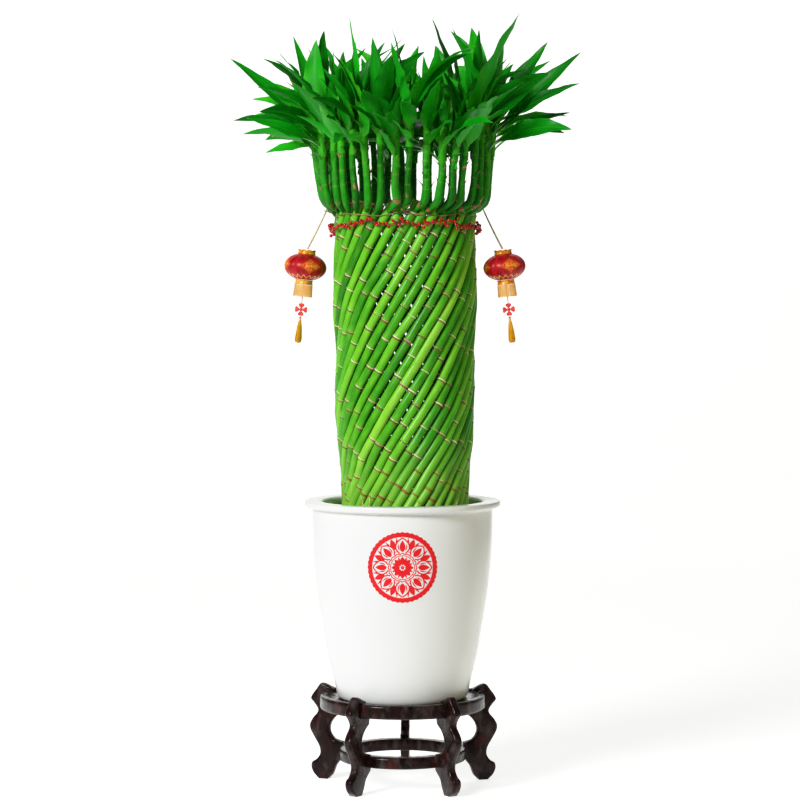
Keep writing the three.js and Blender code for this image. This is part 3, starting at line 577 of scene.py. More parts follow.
# Round a joint, by the height above it: how far the skin stands out, and how much of it is a cream
# ring, a brown seam or the pale skin of the young internode.
JOINT_FORM = np.array([
    (-5, 0, 0, 0, 0), (-2.5, 0.10, 0, 0.2, 0), (-1.6, 0.04, 0, 0.7, 0), (-1.0, -0.12, 0, 1, 0),
    (-0.5, 0.20, 0.3, 0.7, 0), (-0.1, 0.55, 1, 0, 0.5), (0.25, 0.55, 1, 0, 1), (0.7, 0.25, 0.35, 0.2, 1),
    (1.5, 0.08, 0, 0, 0.9), (4.5, 0, 0, 0, 0.5), (10, -0.05, 0, 0, 0)])
CANE_SIDES = 16
KINK = 0.6
CANE_SEED = 21
SHOOT_SIDES = 5
SHOOT_FOOT_TURN = (4.4, 6)
SHOOT_FOOT_RADIUS = (95, 100)
SHOOT_SWERVE = (-1.5, 1.5)
SHOOT_SPREAD = (3, 16)
SHOOT_TOP = (784, 828)
SPEAR_LENGTH = (28, 48)
CROWN_SEED = 11


def draws_from(seed):
    """A seeded generator of draws from 0 to 1, by 32-bit mixing."""
    mask = 0xFFFFFFFF
    state = seed

    def draw():
        nonlocal state
        state = (state + 0x6D2B79F5) & mask
        mixed = ((state ^ (state >> 15)) * (state | 1)) & mask
        mixed ^= (mixed + (mixed ^ (mixed >> 7)) * (mixed | 61)) & mask
        return (mixed ^ (mixed >> 14)) / 4294967296

    return draw


def between(limits, part):
    return limits[0] + (limits[1] - limits[0]) * part


def cage_radius(height):
    upper = np.clip(np.searchsorted(CAGE_PROFILE[:, 0], height), 1, len(CAGE_PROFILE) - 1)
    low_height, low_radius = CAGE_PROFILE[upper - 1].T
    high_height, high_radius = CAGE_PROFILE[upper].T
    part = (height - low_height) / (high_height - low_height)
    return low_radius + (high_radius - low_radius) * part * part * (3 - 2 * part)


def cage_turn(height):
    above = height - TWIST_HEIGHT
    return TWIST_RATE * above - TWIST_GAIN * above * above


def ring_point(radius, turn, height):
    angle = np.radians(turn)
    return np.stack(np.broadcast_arrays(
        CAGE_SHIFT + radius * np.cos(angle), radius * np.sin(angle), height), axis=-1)


def cane_turn(stalk, height):
    return -90 + 360 / STALK_COUNT * stalk + cage_turn(height)


def cane_point(stalk, height):
    return ring_point(cage_radius(height), cane_turn(stalk, height), height)


def plan_stalks():
    """What each stalk is like, from draws in a fixed order."""
    draw = draws_from(CROWN_SEED)
    plans = []
    for stalk in range(STALK_COUNT):
        plan = {"stalk": stalk, "top": between(CANE_TOP, draw())}
        plan["first_joint"] = LOWEST_JOINT + JOINT_RISE * ((stalk * GOLDEN_PART + 0.1 * draw()) % 1)
        plan["foot_turn"] = cane_turn(stalk, plan["top"]) + between(SHOOT_FOOT_TURN, draw())
        plan["foot_radius"] = between(SHOOT_FOOT_RADIUS, draw())
        plan["top_turn"] = plan["foot_turn"] + between(SHOOT_SWERVE, draw())
        plan["top_radius"] = plan["foot_radius"] + between(SHOOT_SPREAD, draw())
        plan["shoot_top"] = between(SHOOT_TOP, draw())
        plan["spear"] = between(SPEAR_LENGTH, draw())
        plan["first_face"] = math.floor(SHOOT_SIDES * draw())
        plans.append(plan)
    return plans


def tube(centres, radii, sides):
    """Points and faces of a round tube with closed ends, and the station and the angle of each point."""
    ways = np.gradient(centres, axis=0)
    ways /= np.linalg.norm(ways, axis=1)[:, None]
    side = np.cross(ways[0], (0.31, 0.89, 0.33))
    angles = np.arange(sides) * 2 * math.pi / sides
    rings = []
    for centre, way, radius in zip(centres, ways, radii):
        side = side - way * side.dot(way)
        side /= np.linalg.norm(side)
        other = np.cross(way, side)
        rings.append(centre + radius * (np.outer(np.cos(angles), side) + np.outer(np.sin(angles), other)))
    points, faces = lofted(rings)
    return points, faces, np.repeat(np.arange(len(rings)), sides), np.tile(angles, len(rings))


def unit(vectors):
    return vectors / np.linalg.norm(vectors, axis=-1, keepdims=True)


def mark_of(tree, name, output="Fac"):
    """The value of a named mark on the mesh."""
    return add_node(tree, "ShaderNodeAttribute", attribute_name=name).outputs[output]


def fibre_grain(tree, scale, along, detail=3, distortion=0.0):
    """Noise that runs along the fibres: the marks hold millimetres across and along them."""
    return noise_over(tree, mark_of(tree, "fibre", "Vector"), (1, 1, along), scale, detail, distortion)


def reckon(tree, first, second, operation="MULTIPLY"):
    """The product of two values, or what another operation makes of them."""
    return add_node(tree, "ShaderNodeMath", {0: first, 1: second}, operation=operation).outputs[0]


def ragged_ramp(tree, mark, noise, *stops):
    """A run of colours over a named mark, made ragged by the noise that is added to it."""
    return ramp(tree, reckon(tree, mark_of(tree, mark), noise, "ADD"), *stops)


def cane_skin():
    """Waxy green skin with painted shade on the sides that face other canes and the inside, paler low down,
    with a scar round each joint.
    """
    material, tree, shader = new_material(
        "cane_skin", (0.08, 0.42, 0.02), 0.3, Coat_Weight=0.06, Coat_Roughness=0.2, Specular_IOR_Level=0.2)
    green = ragged_ramp(tree, "tone", reckon(tree, fibre_grain(tree, 0.16, 0.3), 0.5),
                        (0.3, (0.007, 0.155, 0.003)), (0.5, (0.036, 0.31, 0.005)),
                        (0.7, (0.120, 0.49, 0.012)), (0.95, (0.28, 0.64, 0.045)))
    threads = ramp(tree, fibre_grain(tree, 1.4, 0.05), (0.4, 0.0), (0.75, 0.22))
    height = add_node(tree, "ShaderNodeSeparateXYZ", {"Vector": own_place(tree)}).outputs["Z"]
    pale = ramp(tree, height, (0.345, 0.6), (0.385, 0.3), (0.43, 0.0))
    young = reckon(tree, mark_of(tree, "young"), 0.28)
    # Painted shade: dark green on each cane's sides and its inner face, where its neighbours would shade it.
    painted_gap_shade = ramp(tree, mark_of(tree, "facing"), (0.43, 0.92), (0.77, 0.0))
    broken = fibre_grain(tree, 0.42, 0.35)
    seam = ragged_ramp(tree, "seam", broken, (0.78, 0), (0.98, 1))
    seam_colour = ramp(tree, height, (0.345, (0.36, 0.085, 0.02)), (0.42, (0.16, 0.075, 0.022)))
    ring = ragged_ramp(tree, "ring", broken, (0.80, 0), (0.99, 1))
    ring_colour = ramp(tree, mark_of(tree, "aged"), (0.3, (0.84, 0.77, 0.52)),
                       (0.6, (0.58, 0.41, 0.20)), (0.9, (0.30, 0.12, 0.04)))
    wound = ramp(tree, fibre_grain(tree, 0.055, 0.45, 4), (0.70, 0), (0.725, 0.8))
    dried = ragged_ramp(tree, "cut", broken, (0.78, 0), (1.0, 1))
    cork = ramp(tree, fibre_grain(tree, 0.9, 1.0), (0.35, (0.15, 0.06, 0.02)), (0.65, (0.50, 0.33, 0.16)))
    skin = layered(
        tree, green, (threads, (0.20, 0.57, 0.03)), (pale, (0.30, 0.63, 0.07)), (young, (0.24, 0.60, 0.05)),
        (painted_gap_shade, (0.003, 0.07, 0.002)), (reckon(tree, seam, 0.85), seam_colour), (ring, ring_colour),
        (wound, (0.26, 0.13, 0.05)), (dried, cork))
    tree.links.new(skin, shader.inputs["Base Color"])
    tree.links.new(ramp(tree, ring, (0, 0.30), (1, 0.7)), shader.inputs["Roughness"])
    relief(tree, shader, fibre_grain(tree, 1.1, 0.12, 4), 0.16)
    return material


def uneven_joints(plan, draw):
    """The joints of one cane. Some internodes stay short, and some are half as long again."""
    joints = np.arange(plan["first_joint"], plan["top"] - JOINTLESS_TOP, JOINT_RISE)
    joints = joints + draw.uniform(-JOINT_WANDER, JOINT_WANDER, len(joints))
    wide = joints[1:] - joints[:-1] > WIDE_INTERNODE
    split = wide & (draw.uniform(0, 1, len(wide)) < SPLIT_SHARE)
    between_joints = (joints[:-1] + (joints[1:] - joints[:-1]) * draw.uniform(0.4, 0.6, len(wide)))[split]
    low = joints[0] - draw.uniform(17, 32, 2).cumsum()
    joints = np.sort(np.concatenate([low[low > LOWEST_SCAR], joints, between_joints]))
    return joints[joints < plan["top"] - JOINTLESS_TOP]


def cane_parts(plan, skin, draw):
    """A cane with its joints, slightly kinked at each one, and the flat cut at its top."""
    joints = uneven_joints(plan, draw)
    top = plan["top"] + draw.uniform(0.5, 4.5)
    heights = [*np.linspace(CANE_BOTTOM, joints[0] - 9, 9), *np.arange(joints[-1] + 12, top - 1, 7)]
    for joint in joints:
        heights += [joint + above for above in JOINT_FORM[:, 0]]
    for low, high in zip(joints[:-1], joints[1:]):
        heights += list(np.linspace(low + 12, high - 8, 4 if high - low > 30 else 2))
    heights = np.array(sorted(heights + [top - 0.5, top]))
    which = np.argmin(np.abs(heights[:, None] - joints), axis=1)
    above = heights - joints[which]
    run = np.clip(np.searchsorted(joints, heights), 0, len(joints))
    slim = draw.uniform(-0.08, 0.03)
    thickness = CANE_RADIUS * (1 + slim + draw.uniform(-0.02, 0.02, len(joints) + 1))[run]
    tones = np.clip(draw.normal(0.34, 0.10) + draw.normal(0, 0.05, len(joints) + 1), 0.05, 0.8)
    bulge, ring, seam, young = [
        np.interp(above, JOINT_FORM[:, 0], JOINT_FORM[:, column]) for column in (1, 2, 3, 4)]
    ring *= draw.uniform(0.25, 1.1, len(joints))[which]
    seam *= draw.uniform(0.3, 1.3, len(joints))[which]
    aged = (draw.uniform(0.0, 0.75, len(joints)) + np.clip((420 - joints) / 100, 0, 0.6))[which]
    radii = thickness + bulge * draw.uniform(0.5, 1.2, len(joints))[which]
    radii[-1] -= 0.4
    dried = np.clip((heights - top + 3.5) / 3.5, 0, 1) * draw.uniform(0.5, 1)
    bends = np.array([CANE_BOTTOM, *joints, top])
    kinks = draw.normal(0, KINK, (len(bends), 3))
    centres = cane_point(plan["stalk"], heights)
    centres += np.stack([np.interp(heights, bends, kinks[:, axis]) for axis in range(3)], axis=1)
    points, faces, loop, angle = tube(centres, radii, CANE_SIDES)
    around = 5 * np.stack([np.cos(angle), np.sin(angle)], axis=1)
    fibre = np.column_stack([around, heights[loop] / math.cos(math.radians(30)) + 37 * plan["stalk"]])
    tone = np.interp(heights, bends, np.append(tones, tones[-1]))
    # How far each point faces out of the cage, for the painted shade on the cane's sides and inner face.
    outward = unit((centres - (CAGE_SHIFT, 0, 0)) * (1, 1, 0))
    facing = 0.5 + 0.5 * ((points - centres[loop]) * outward[loop]).sum(axis=1) / radii[loop]
    marks = {"ring": ring, "seam": seam, "young": young, "aged": aged, "cut": dried, "tone": tone}
    marks = {name: values[loop] for name, values in marks.items()}
    return points, faces, skin, {**marks, "facing": facing, "fibre": fibre}


plans = plan_stalks()
cane_material = cane_skin()

# Shoots
# One green shoot grows out beside each cut, from a corky collar, and rises nearly straight. It has
# rings where leaves have dropped, with small dry scales left on some, and ends in a rolled spear.

SHOOT_RADIUS = 4.35
SHOOT_NECK_RADIUS = 4.2
SHOOT_ROOT_DEPTH = 11
SHOOT_FOOT_HEIGHT = 709
BAND_HEIGHT = 13
RING_STEPS = (9, 19)
PATH_STEPS = 14
STATION_STEP = 2.2
SHOOT_TUBE_SIDES = 12


def outward_at(point):
    return unit(np.array([point[0] - CAGE_SHIFT, point[1], 0]))


def shoot_path(plan):
    """From inside the cane: the start, the foot, the middle, the top and the spear's tip."""
    foot = ring_point(plan["foot_radius"], plan["foot_turn"], SHOOT_FOOT_HEIGHT)
    top = ring_point(plan["top_radius"], plan["top_turn"], plan["shoot_top"])
    start = cane_point(plan["stalk"], plan["top"] - SHOOT_ROOT_DEPTH)
    middle = foot + (top - foot) * 0.3 + outward_at(foot) * 2
    return [start, foot, middle, top, top + unit(top - middle) * plan["spear"]]


def shoot_bark():
    """Bright skin, yellower at the rings, with cork at the foot and dry papery scales."""
    material, tree, shader = new_material(
        "shoot_bark", (0.10, 0.42, 0.02), 0.4, Specular_IOR_Level=0.16)
    green = ragged_ramp(tree, "tone", reckon(tree, fibre_grain(tree, 0.3, 0.3), 0.5),
                        (0.25, (0.001, 0.09, 0.002)), (0.55, (0.008, 0.25, 0.005)),
                        (0.9, (0.08, 0.48, 0.014)))
    threads = ramp(tree, fibre_grain(tree, 1.8, 0.06), (0.4, 0.0), (0.7, 0.3))
    ring = ragged_ramp(tree, "ring", fibre_grain(tree, 0.6, 0.6), (0.78, 0.0), (1.0, 0.4))
    corky = ragged_ramp(tree, "cut", fibre_grain(tree, 0.4, 0.5), (0.74, 0.0), (0.98, 1.0))
    cork = ramp(tree, fibre_grain(tree, 0.7, 1.0, 5), (0.3, (0.10, 0.035, 0.012)),
                (0.5, (0.30, 0.15, 0.05)), (0.7, (0.55, 0.36, 0.16)))
    skin = layered(tree, green, (threads, (0.05, 0.46, 0.010)), (ring, (0.24, 0.34, 0.05)), (corky, cork))
    tree.links.new(skin, shader.inputs["Base Color"])
    relief(tree, shader, fibre_grain(tree, 0.9, 0.15, 4), 0.25)
    return material


def shoot_line(plan, draw):
    """The shoot's middle line at even steps, swaying a little, and how far along its path points lie."""
    path = shoot_path(plan)
    start, foot, middle, top, tip = path
    bent = [start, foot + (start - foot) * 0.25, foot + (middle - foot) * 0.18, middle, top, tip]
    line = np.array(swung(start - (0, 0, 12), bent, tip + (0, 0, 1), steps=PATH_STEPS))
    run = np.concatenate([[0], np.cumsum(np.linalg.norm(np.diff(line, axis=0), axis=1))])
    places = np.arange(0, run[-1], STATION_STEP)
    centres = np.stack([np.interp(places, run, line[:, axis]) for axis in range(3)], axis=1)
    foot, top = run[PATH_STEPS * 3 // 2], run[PATH_STEPS * 4]
    free = np.clip((places - foot) / (top - 30 - foot), 0, 1)
    away = outward_at(path[1])
    across = np.array([-away[1], away[0], 0])
    bulge, wave = np.sin(math.pi * free), np.sin(2 * math.pi * free)
    sway = draw.uniform(-2.2, 2.2) * bulge + draw.uniform(-0.9, 0.9) * wave
    centres += across * sway[:, None] + away * (draw.uniform(-1.5, 1.0) * bulge)[:, None]
    return places, centres, foot, top


def scale_leaf(centre, up, turn, leafy, skin, draw):
    """A pointed scale, or a small starved leaf, that hugs the shoot at a ring and then stands off it."""
    out = unit(np.cross(np.cross(up, way_of(turn, 0)), up))
    level = np.cross(up, out)
    starved = draw.uniform() < leafy
    length = draw.uniform(13, 24) if starved else draw.uniform(4.5, 10)
    steps = np.linspace(0, 1, 9)
    stand = draw.uniform(0.4, 1.1) if starved else draw.uniform(0.1, 0.6)
    bow = draw.uniform(0.2, 0.9) if starved else 0.0
    rise = steps - bow * steps ** 2 / 2
    centres = centre + np.outer(rise * length, up) + np.outer(4.3 + stand * length * steps ** 1.6, out)
    halves = np.maximum((3.0 if starved else 3.3) * (1 - steps) ** 0.7, 0.15)
    angles = 0.7 * (1 - steps) + 0.15
    sides, ups = np.tile(level, (len(steps), 1)), np.tile(-out, (len(steps), 1))
    waves = np.zeros((len(steps), len(BLADE_COLUMNS)))
    points, faces, places, _, size = bladed(centres, sides, ups, halves, angles, 0.0, waves, 0.4)
    along = np.repeat(steps, size)
    fibre = np.column_stack([places * 3, np.full(len(along), draw.uniform(0, 900)), along * length])
    dry = 0.0 if starved else draw.uniform(0.0, 0.9)
    marks = {"tone": draw.uniform(-0.1, 0.25), "fibre": fibre, "cut": np.clip(along * 0.6 + dry - 0.35, 0, 1)}
    return points, faces, skin, marks


def shoot_parts(plan, skin, draw):
    """The shoot's tube with its rings, its corky foot and its rolled spear, and the scales on it."""
    places, centres, foot, top = shoot_line(plan, draw)
    spear = (places - top) / (places[-1] - top)
    stout = draw.uniform(0.86, 1.1)
    known = (0, foot * 0.45, foot * 0.8, foot + 8, foot + 22, top - 26, top - 8, top)
    radii = np.interp(places, known, (
        2.8, 3.1, 4.2, 5.1 * stout, SHOOT_RADIUS * stout, 4.2 * stout, 4.9 * stout, 3.9))
    radii = np.where(spear > 0, 3.9 * np.clip(1 - spear, 0.03, 1) ** 0.75, radii)
    rings = foot + 6 + np.cumsum(draw.uniform(*RING_STEPS, 12))
    rings = rings[rings < top - 14]
    swell = np.clip(1 - np.min(np.abs(places[:, None] - rings), axis=1) / 2.2, 0, 1)
    cork_place, cork_reach = foot * draw.uniform(0.45, 1.15), draw.uniform(1.5, 5)
    cork = np.clip(draw.uniform(0.1, 1.0) - np.abs(places - cork_place) / cork_reach, 0, 1)
    radii += 0.3 * swell + 0.6 * cork * draw.uniform(0.4, 1.0, len(places))
    points, faces, loop, angle = tube(centres, radii, SHOOT_TUBE_SIDES)
    coiled = 1 + 0.14 * np.clip(spear, 0, 1)[loop] * np.cos(angle + places[loop] * 0.12)
    points = centres[loop] + (points - centres[loop]) * coiled[:, None]
    fibre = np.column_stack([4.5 * np.cos(angle), 4.5 * np.sin(angle), places[loop] + 53 * plan["stalk"]])
    tone = draw.uniform(-0.05, 0.36) + 0.30 * np.clip(places / top, 0, 1) ** 2
    marks = {"ring": swell[loop] * 0.6, "tone": tone[loop], "fibre": fibre, "cut": cork[loop]}
    parts = [(points, faces, skin, marks)]
    kept_rings = rings[draw.uniform(0, 1, len(rings)) < 0.7]
    foot_spots = foot * draw.uniform(0.5, 1.2, draw.integers(2, 5))
    for spot in (*kept_rings, *foot_spots):
        i = min(int(spot / STATION_STEP), len(centres) - 3)
        up = unit(centres[i + 2] - centres[i])
        leafy = 0.35 if spot > foot + 14 else 0.0
        parts.append(scale_leaf(centres[i], up, draw.uniform(0, 2 * math.pi), leafy, skin, draw))
    return parts


shoot_material = shoot_bark()

# Leaves
# Lance-shaped blades stand out of the upper shoot on all sides, each from a short sheath that clasps
# the shoot. They are folded a little along the midrib, arch over, and wave along their edges.

STALK_LEAVES_SEED = CROWN_SEED + 1
LEAF_BANDS = (0, 0, 1, 1, 2, 2, 1, 0, 2)
MOST_LEAVES = 6
LEAF_ROUNDS = 300
BLADE_FOLD = 0.24
FOOT_HALF_WIDTH = 2.4
LEAF_LENGTH = (84, 128)
LEAF_WIDTH = (20, 32)
LEAF_SWING = (-50, 50)
LEAF_RISE = (-8, 40)
BAND_RISE = 24
LEAF_ROLL = (-25, 25)
LEAF_SWAY = (-8, 8)
ARCH_RISE = (14, 40)
STEEPEST = 84
MOST_STUNTED = 0.42
BLADE_CLEARANCE = 5.6
SISTER_CLEARANCE = 3.6
CROWN_REACH = 205
CROWN_TOP = 925
CROWN_BOTTOM = 764
SAMPLE_ROWS = 14
SAMPLE_PLACES = np.array([-1, -0.5, 0, 0.5, 1])
INNER_SAMPLES = 4 * len(SAMPLE_PLACES)
ROOT_SAMPLES = 2 * len(SAMPLE_PLACES)
# The leaves that give the crown its outline: the stalk and the place on its shoot that each grows
# from, where its tip is (across, deep and high), its width and its arch.
OUTLINE_LEAVES = (
    (2, 4, 137, -130, 928, 37, 0.10), (11, 4, 36, 50, 938, 20, 0.16), (31, 4, -62, -120, 924, 22, 0.05),
    (32, 3, -35, -118, 901, 26, 0.02), (34, 3, -14, -126, 895, 27, 0.12), (20, 4, 1, 100, 919, 17, 0.10),
    (23, 4, -134, 32, 915, 19, 0.05), (25, 3, -209, 2, 884, 23, 0.08), (26, 2, -205, -22, 808, 22, 0.30),
    (27, 1, -186, -60, 809, 20, 0.10), (28, 4, -146, -85, 884, 21, 0.08), (22, 4, -103, 62, 903, 20, 0.06),
    (29, 0, -130, -128, 848, 36, 0.10), (30, 2, -97, -130, 854, 26, 0.12), (33, 2, 30, -142, 856, 25, 0.16),
    (35, 1, 57, -145, 800, 24, 0.20), (3, 3, 117, -112, 893, 31, 0.08), (6, 3, 216, -22, 891, 27, 0.08),
    (8, 4, 178, 22, 907, 26, 0.05), (5, 3, 212, -52, 850, 21, 0.16), (7, 1, 203, 4, 816, 24, 0.24),
    (4, 1, 174, -76, 765, 26, 0.34), (9, 4, 184, 48, 888, 20, 0.08))
DEPTH_SHIFTS = (0, -7, 7, -14, 14, -21, 21, -28, 28, -35, 35, -42, 42)


def loop_at(centre, along, outward, radius):
    """Corners round the shoot, the first on the side that faces away from the cage's axis."""
    out = unit(outward - along * outward.dot(along))
    across = np.cross(along, out)
    turns = np.arange(SHOOT_SIDES) * 2 * math.pi / SHOOT_SIDES
    return centre + radius * (np.outer(np.cos(turns), out) + np.outer(np.sin(turns), across))


def leaf_root(plan, band, face):
    """The middle of the side of the shoot that a leaf grows from."""
    _, foot, middle, top, _ = shoot_path(plan)
    up, out = unit(top - middle), outward_at(foot)
    sides = [face, (face + 1) % SHOOT_SIDES]
    edges = [loop_at(top - up * BAND_HEIGHT * (3 - edge), up, out, SHOOT_NECK_RADIUS)[sides]
             for edge in (band, band + 1)]
    return np.concatenate(edges).mean(axis=0)


def face_turn(plan, face):
    return plan["foot_turn"] + 360 / SHOOT_SIDES * (face + 0.5)


def level_of(turn):
    """The level way across a leaf that points at this turn."""
    return np.array([-math.sin(turn), math.cos(turn), 0])


def blade_line(leaf, parts):
    """The midrib's points, and the blade's sides, faces and half widths at parts of its length."""
    parts = np.asarray(parts, float)[:, None]
    rest = 1 - parts
    root, bend, tip = leaf["root"], leaf["bend"], leaf["tip"]
    centres = root * rest * rest + bend * 2 * rest * parts + tip * parts * parts
    along = unit((bend - root) * rest + (tip - bend) * parts)
    level = level_of(leaf["turn"])
    rolls = leaf["roll"] + leaf.get("twist", 0) * np.clip(parts / 0.5, 0, 1)
    cos, sin = np.cos(rolls), np.sin(rolls)
    side = level * cos + np.cross(along, level) * sin + along * (along @ level)[:, None] * (1 - cos)
    side = unit(side - along * np.sum(side * along, axis=1, keepdims=True))
    swell = np.clip(np.sin(math.pi * parts[:, 0] ** 0.72), 0, 1) ** 0.9
    half = np.maximum(leaf["width"] * 0.5 * swell, FOOT_HALF_WIDTH * rest[:, 0] ** 2)
    return centres, side, np.cross(along, side), half


def outline_leaf(plan, number, shift, tip_x, tip_y, tip_z, width, arch):
    tip = np.array([tip_x, tip_y + shift, tip_z], float)
    top = shoot_path(plan)[3]
    wanted = math.degrees(math.atan2(tip[1] - top[1], tip[0] - top[0]))
    step = math.floor((wanted - face_turn(plan, 0)) / (360 / SHOOT_SIDES) + 0.5)
    face = (step + 3 * SHOOT_SIDES) % SHOOT_SIDES
    root = leaf_root(plan, LEAF_BANDS[number], face)
    bend = root + (tip - root) * 0.42 + (0, 0, arch * np.linalg.norm(tip - root))
    turn = math.atan2(tip[1] - root[1], tip[0] - root[0])
    return {"number": number, "band": LEAF_BANDS[number], "face": face, "root": root, "bend": bend,
            "tip": tip, "turn": turn, "width": width, "roll": 0.0}


def leaf_spot(plan, number):
    """The band and the side of the shoot that a drawn leaf grows from."""
    return LEAF_BANDS[number], (plan["first_face"] + 2 * number + number // SHOOT_SIDES) % SHOOT_SIDES


def way_of(turn, rise):
    return np.array([math.cos(turn) * math.cos(rise), math.sin(turn) * math.cos(rise), math.sin(rise)])


def drawn_leaf(plan, number, draw, tries, roots):
    band, face = leaf_spot(plan, number)
    root = roots[band, face]
    stunted = 1 - MOST_STUNTED * tries / LEAF_ROUNDS
    turn = math.radians(face_turn(plan, face) + between(LEAF_SWING, draw()))
    rise = math.radians(BAND_RISE * band + between(LEAF_RISE, draw()))
    length = between(LEAF_LENGTH, draw()) * stunted
    width = between(LEAF_WIDTH, draw()) * stunted
    roll = math.radians(between(LEAF_ROLL, draw()))
    sway = between(LEAF_SWAY, draw())
    steeper = min(rise + math.radians(between(ARCH_RISE, draw())), math.radians(STEEPEST))
    bend = root + way_of(turn, steeper) * length * 0.55
    bend += level_of(turn) * sway
    return {"number": number, "band": band, "face": face, "root": root, "bend": bend,
            "tip": root + way_of(turn, rise) * length, "turn": turn, "width": width, "roll": roll}


def blade_samples(leaf):
    """Points spread over a blade, to keep it clear of its neighbours."""
    centres, side, face, half = blade_line(leaf, np.arange(1, SAMPLE_ROWS + 1) / SAMPLE_ROWS)
    across = half[:, None] * SAMPLE_PLACES
    lift = BLADE_FOLD * np.abs(across)
    samples = centres[:, None] + side[:, None] * across[..., None] + face[:, None] * lift[..., None]
    return samples.reshape(-1, 3)


def shoot_samples(plan):
    path = shoot_path(plan)[1:]
    steps = [a + (b - a) * step / 10 for a, b in zip(path, path[1:]) for step in range(10)]
    return np.array([path[-1], *steps])


def fits_crown(samples):
    from_axis = np.abs(samples[:, :2] - (CAGE_SHIFT, 0))
    height = samples[:, 2]
    return from_axis.max() < CROWN_REACH and CROWN_BOTTOM < height.min() and height.max() < CROWN_TOP


def closer(first, second, distance):
    """Whether any point of the first is within a distance of the second."""
    if not len(first) or not len(second):
        return False
    gaps = (first ** 2).sum(1)[:, None] + (second ** 2).sum(1) - 2 * first @ second.T
    return gaps.min() <= distance * distance


def clear_of(samples, taken, stalk, clearance, sister_clearance, own=None):
    """Leaves of one shoot meet only near their roots, and those of other shoots stay well apart."""
    low, high = samples.min(axis=0) - clearance, samples.max(axis=0) + clearance
    near = (taken["highs"] >= low).all(axis=1) & (taken["lows"] <= high).all(axis=1)
    for index in np.flatnonzero(near):
        if index == own:
            continue
        other = taken["all"][index]
        points, inner = other["points"], other["inner"]
        if other["stalk"] != stalk:
            if closer(samples, points, clearance):
                return False
        elif (closer(samples[INNER_SAMPLES:], points[:inner], sister_clearance)
              or closer(samples[ROOT_SAMPLES:], points[inner:], sister_clearance)):
            return False
    return True


def let_stand(taken, stalk, points, inner):
    """Adds what grows on a stalk to all that already stands in the crown."""
    taken["all"].append({"stalk": stalk, "points": points, "inner": inner})
    taken["lows"] = np.vstack([taken["lows"], points.min(axis=0)])
    taken["highs"] = np.vstack([taken["highs"], points.max(axis=0)])


def grow_leaves(plans):
    """The outline leaves first, and then drawn ones, each drawn again until it is clear."""
    draw = draws_from(STALK_LEAVES_SEED)
    leaves = [[] for _ in plans]
    taken = {"all": [], "lows": np.empty((0, 3)), "highs": np.empty((0, 3))}
    for plan in plans:
        samples = shoot_samples(plan)
        let_stand(taken, plan["stalk"], samples, len(samples))

    def keep(plan, leaf, samples):
        leaf["place"] = len(taken["all"])
        leaves[plan["stalk"]].append(leaf)
        let_stand(taken, plan["stalk"], samples, INNER_SAMPLES)

    for stalk, number, *rest in OUTLINE_LEAVES:
        for shift in DEPTH_SHIFTS:
            leaf = outline_leaf(plans[stalk], number, shift, *rest)
            samples = blade_samples(leaf)
            if clear_of(samples, taken, stalk, BLADE_CLEARANCE, SISTER_CLEARANCE):
                keep(plans[stalk], leaf, samples)
                break
    roots = [{(band, face): leaf_root(plan, band, face) for band in range(3) for face in range(SHOOT_SIDES)}
             for plan in plans]
    for number in range(len(LEAF_BANDS)):
        for plan in plans:
            sisters = leaves[plan["stalk"]]
            if len(sisters) >= MOST_LEAVES or any(
                    leaf["number"] == number or (leaf["band"], leaf["face"]) == leaf_spot(plan, number)
                    for leaf in sisters):
                continue
            for tries in range(LEAF_ROUNDS):
                leaf = drawn_leaf(plan, number, draw, tries, roots[plan["stalk"]])
                samples = blade_samples(leaf)
                if fits_crown(samples) and clear_of(
                        samples, taken, plan["stalk"], BLADE_CLEARANCE, SISTER_CLEARANCE):
                    keep(plan, leaf, samples)
                    break
    return leaves, taken


# The blade's own form: how tightly its base clasps the shoot, and how it opens and waves.
BLADE_THICKNESS = 0.5
SHEATH_LENGTH = (5, 12)
SHEATH_RADIUS = 4.75
OPEN_ANGLE = 0.34
VALLEY = 0.07
EDGE_WAVE = (0.6, 2.0)
BLADE_COLUMNS = np.array([-1, -0.78, -0.52, -0.26, 0, 0.26, 0.52, 0.78, 1])
BLADE_PARTS = np.concatenate([[0.035, 0.07, 0.11, 0.16], np.linspace(0.22, 0.9, 14), [0.94, 0.97, 0.99]])


def bladed(centres, sides, ups, halves, angles, valley, waves, thickness):
    """A thin closed blade over a line: each station is an arc of its own width and angle.

    Gives its points and faces, where each point lies across it, whether it is on its under side,
    and how many points a station has.
    """
    columns = BLADE_COLUMNS
    turn = angles[:, None] * columns
    across = halves[:, None] * np.sin(turn) / angles[:, None]
    lift = halves[:, None] * ((1 - np.cos(turn)) / angles[:, None] + valley * np.abs(columns)) + waves
    middle = centres[:, None] + sides[:, None] * across[..., None] + ups[:, None] * lift[..., None]
    normal = ups[:, None] * np.cos(turn)[..., None] - sides[:, None] * np.sin(turn)[..., None]
    body = np.clip(1 - np.abs(columns) ** 3, 0, 1) * thickness * 0.5
    over = middle + normal * body[None, :, None]
    under = middle - normal * body[None, :, None]
    points, faces = lofted(np.concatenate([over, under[:, -2:0:-1]], axis=1))
    faces = [faces[0][::-1], faces[1][::-1], *((a, d, c, b) for a, b, c, d in faces[2:])]
    places = np.concatenate([columns, columns[-2:0:-1]])
    below = np.concatenate([np.zeros(len(columns)), np.ones(len(columns) - 2)])
    return points, faces, np.tile(places, len(centres)), np.tile(below, len(centres)), len(places)


